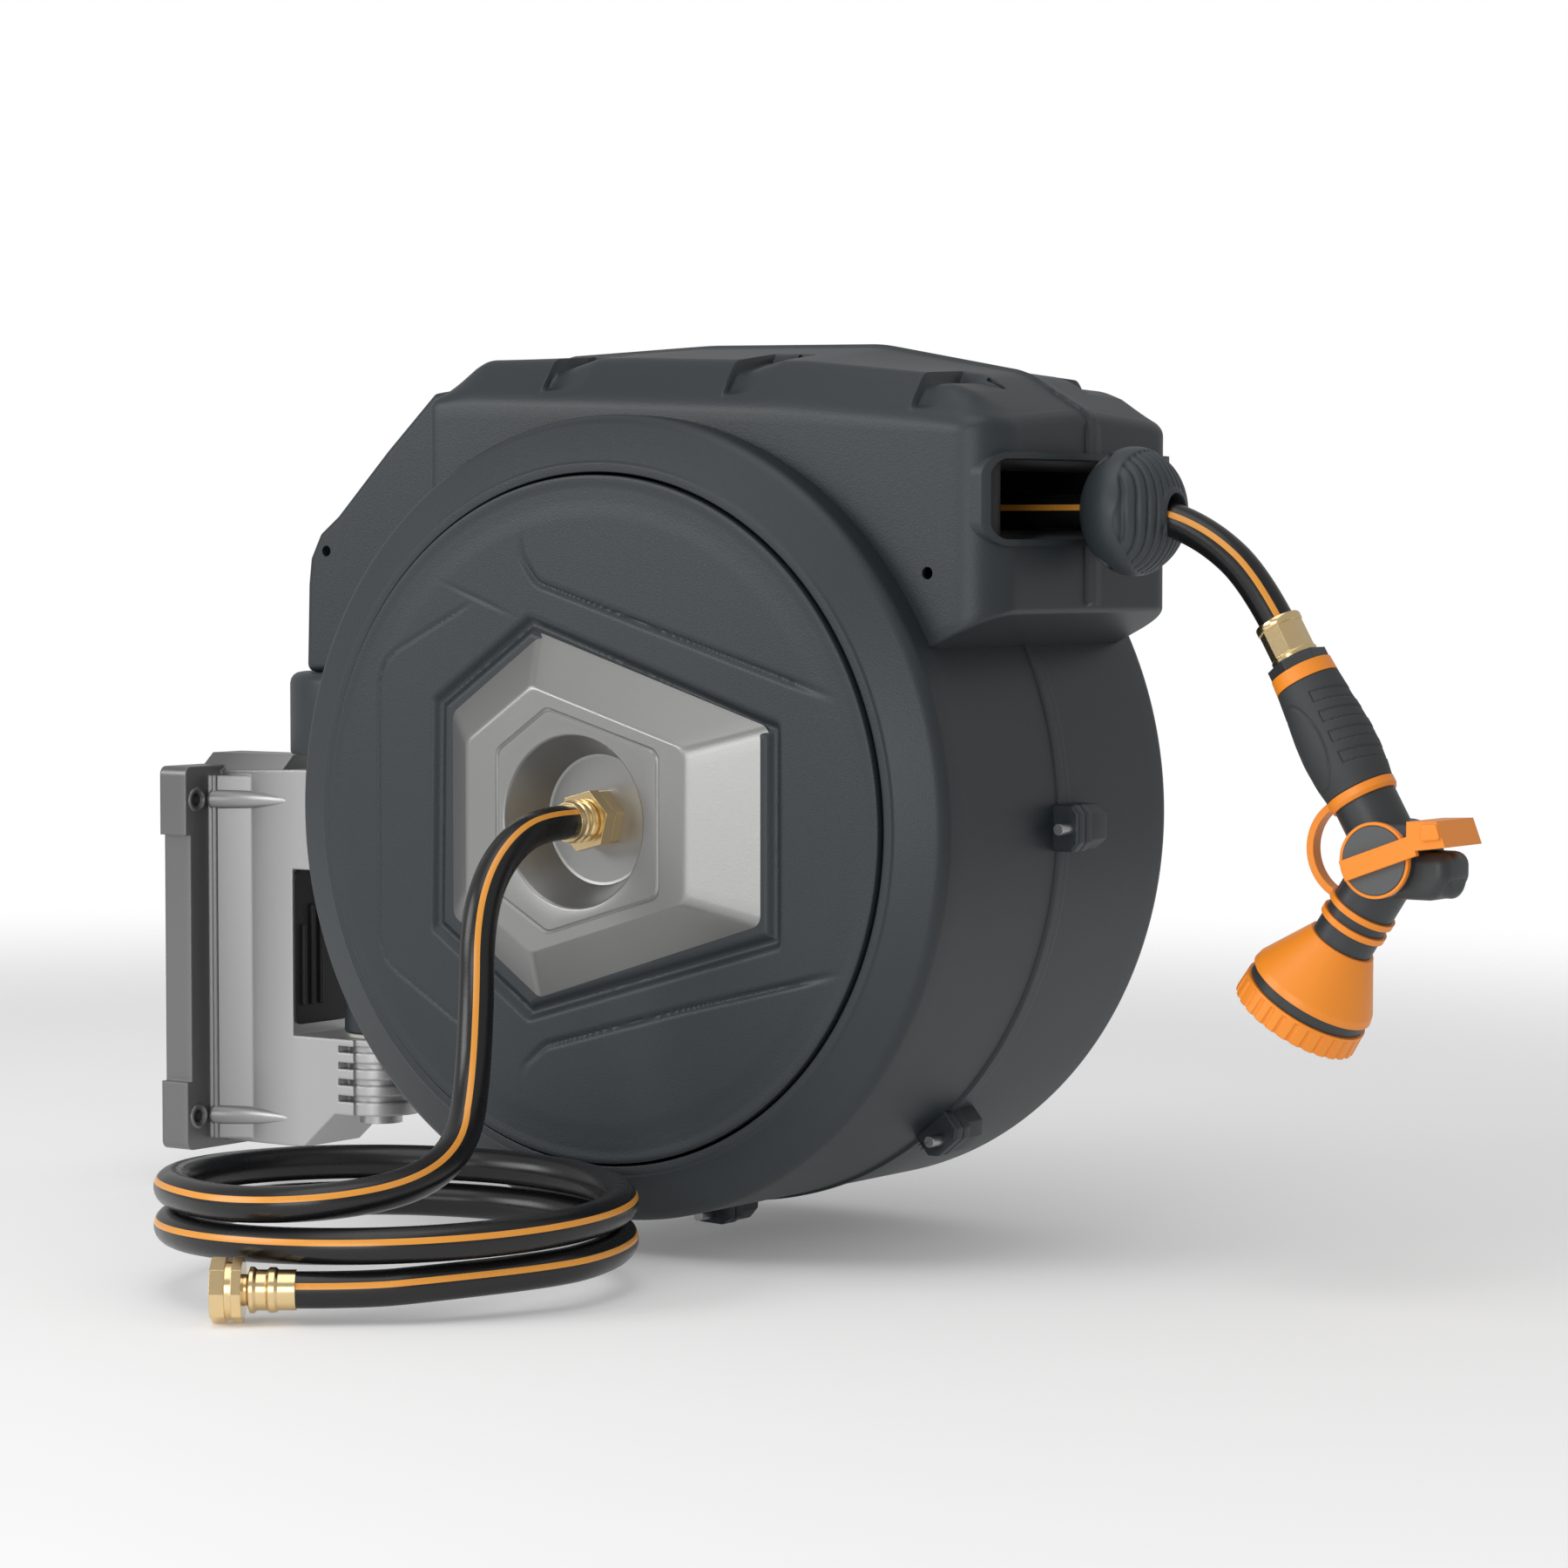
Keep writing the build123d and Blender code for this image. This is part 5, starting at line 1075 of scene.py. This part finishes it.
def relief(name, side, z):
    """A bullet on the root of the arm: round sections whose radius falls as (1 - u^2)^0.8 along X."""
    u = np.linspace(0, 1, 26)[:, None]
    roll = full_turn(40)[None]
    x = FLANGE_X + 2 + RELIEF_LONG * u
    swell = RELIEF_R * (1 - u**2) ** 0.8 + 0.02
    root = ROOT_SIDE - (x - FLANGE_X) * (ROOT_SIDE - ARM_SIDE) / (ROOT_END - FLANGE_X)
    y = side * (-soft_min(-root, -ARM_SIDE, 9) - 1.6 + 0.85 * swell * np.cos(roll))
    grid = grid_of(x, y, z + swell * np.sin(roll))
    return surface(name, in_row(grid), around=True, caps=True, flip=side < 0)


def facing_case(grid):
    """Millimetres (y, z, x) in the row frame as metres, for plates that face the case."""
    return in_row(np.asarray(grid, float)[..., [2, 0, 1]])


def plate(name, y, z, x, corner):
    """A rounded plate between two widths, two heights and two reaches."""
    outline = soften([(y[0], z[0]), (y[1], z[0]), (y[1], z[1]), (y[0], z[1])], corner, steps=4)
    dress(slab(name, outline, *x, 0.2, 0.6, facing_case), "bracket", "inner_plastic", inner_plastic)


# Painted shade: the near-black plate stands in for the shade inside the window.
plate("window_painted_shade_plate", (-25.6, 25.6), (-39.6, 55.6), (78.9, 80.4), 6)
for count, (y, top) in enumerate(((-18, 22), (-10, 34), (-2, 46))):
    plate(f"window_rib_{count}", (y - RIB_HALF, y + RIB_HALF), (RIB_LOW, top), RIB_X, 1)

for side, side_name in ((-1, "near"), (1, "far")):
    for z in (-BOLT_Z, BOLT_Z):
        tag = f"{side_name}_{'upper' if z > 0 else 'lower'}"
        ring = collar(f"bolt_collar_{tag}", (side * BOLT_Y, z), COLLAR_R, COLLAR_PROUD)
        dress(ring, "bracket", "bracket", bracket_paint_with_painted_shade)
        dress(relief(f"relief_{tag}", side, z), "bracket", "bracket", bracket_paint_with_painted_shade)
    bead_x = np.array([[22.4, 24.4, 26.2, 26.4, 25.2]]).T
    bead_y = np.interp(bead_x, [FLANGE_X, ROOT_END], [ROOT_SIDE, ARM_SIDE])
    bead_y = bead_y + np.array([[-1, 1.2, 0.6, -0.6, -2]]).T
    heights = np.array([-112.0, -111.5, 111.5, 112.0])
    bead = grid_of(bead_x.T, side * bead_y.T, heights[:, None])
    bead = surface(f"arm_bead_{side_name}", in_row(bead), around=True, caps=True, flip=side < 0)
    dress(bead, "bracket", "bracket", bracket_paint_with_painted_shade)

# %% [markdown]
# ## Floor and light
# A pale floor lies just under the tap fitting, glows a little and fades out with distance. Large
# soft lights hang overhead, in front and on the left, as in a product studio. The world is white to
# the camera but dimmer as a light, so the background is clean and the colours keep their depth.

# %% The studio
FLOOR_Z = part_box("tap_nut")[0].z - 0.0005
FLOOR_HALF, FLOOR_GREY, FLOOR_GLOW = 30.0, 0.90, 0.14
FADE_FROM, FADE_TO = 0.9, 2.2
floor_mesh = bpy.data.meshes.new("floor")
square = [(-1, -1), (1, -1), (1, 1), (-1, 1)]
floor_mesh.from_pydata([(x * FLOOR_HALF, y * FLOOR_HALF, FLOOR_Z) for x, y in square], [], [(0, 1, 2, 3)])
floor = add_object("floor", floor_mesh)
floor_finish, floor_place, floor_shader = new_finish("pale_floor")
away = floor_place.node("ShaderNodeVectorMath", {"operation": "LENGTH"}, {0: floor_place}, out=1)
faded = away.node("ShaderNodeMapRange", {"interpolation_type": "SMOOTHSTEP"},
                  {"Value": away, "From Min": FADE_FROM, "From Max": FADE_TO, "To Min": 1.0, "To Max": 0.0})
plug(floor_shader, Base_Color=(FLOOR_GREY, FLOOR_GREY, FLOOR_GREY, 1), Roughness=0.75, Alpha=faded,
     Emission_Color=(1, 1, 1, 1), Emission_Strength=FLOOR_GLOW)
floor.data.materials.append(floor_finish)
WORLD_GLOW = 0.48
world = bpy.data.worlds.new("studio")
bpy.context.scene.world = world
world.use_nodes = True
world_nodes = world.node_tree.nodes
camera_ray = world_nodes.new("ShaderNodeLightPath").outputs["Is Camera Ray"]
strength = world_nodes.new("ShaderNodeMapRange")
strength.inputs["To Min"].default_value = WORLD_GLOW
strength.inputs["To Max"].default_value = 1.0
world.node_tree.links.new(camera_ray, strength.inputs["Value"])
world.node_tree.links.new(strength.outputs["Result"], world_nodes["Background"].inputs["Strength"])
world_nodes["Background"].inputs["Color"].default_value = (1, 1, 1, 1)


def softbox(name, place, aim, size, watts):
    """A square area light that looks from a place at a point."""
    data = bpy.data.lights.new(name, "AREA")
    data.shape = "RECTANGLE"
    data.size, data.size_y = size
    data.energy = watts
    light = add_object(name, data)
    away = np.asarray(place, float) - np.asarray(aim, float)
    yaw = np.arctan2(away[1], away[0])
    tilt = np.arctan2(np.hypot(away[0], away[1]), away[2])
    light.location = place
    light.rotation_euler = (0, tilt, yaw)


aim = at_axis([40, -60, 0])
softbox("overhead", (0.5, -0.9, 2.3), aim, (2.2, 1.6), 14)
softbox("front", (0.95, -2.4, 0.35), aim, (0.9, 1.3), 12)
softbox("left", (-1.2, -2.2, 1.1), aim, (1.2, 1.6), 24)
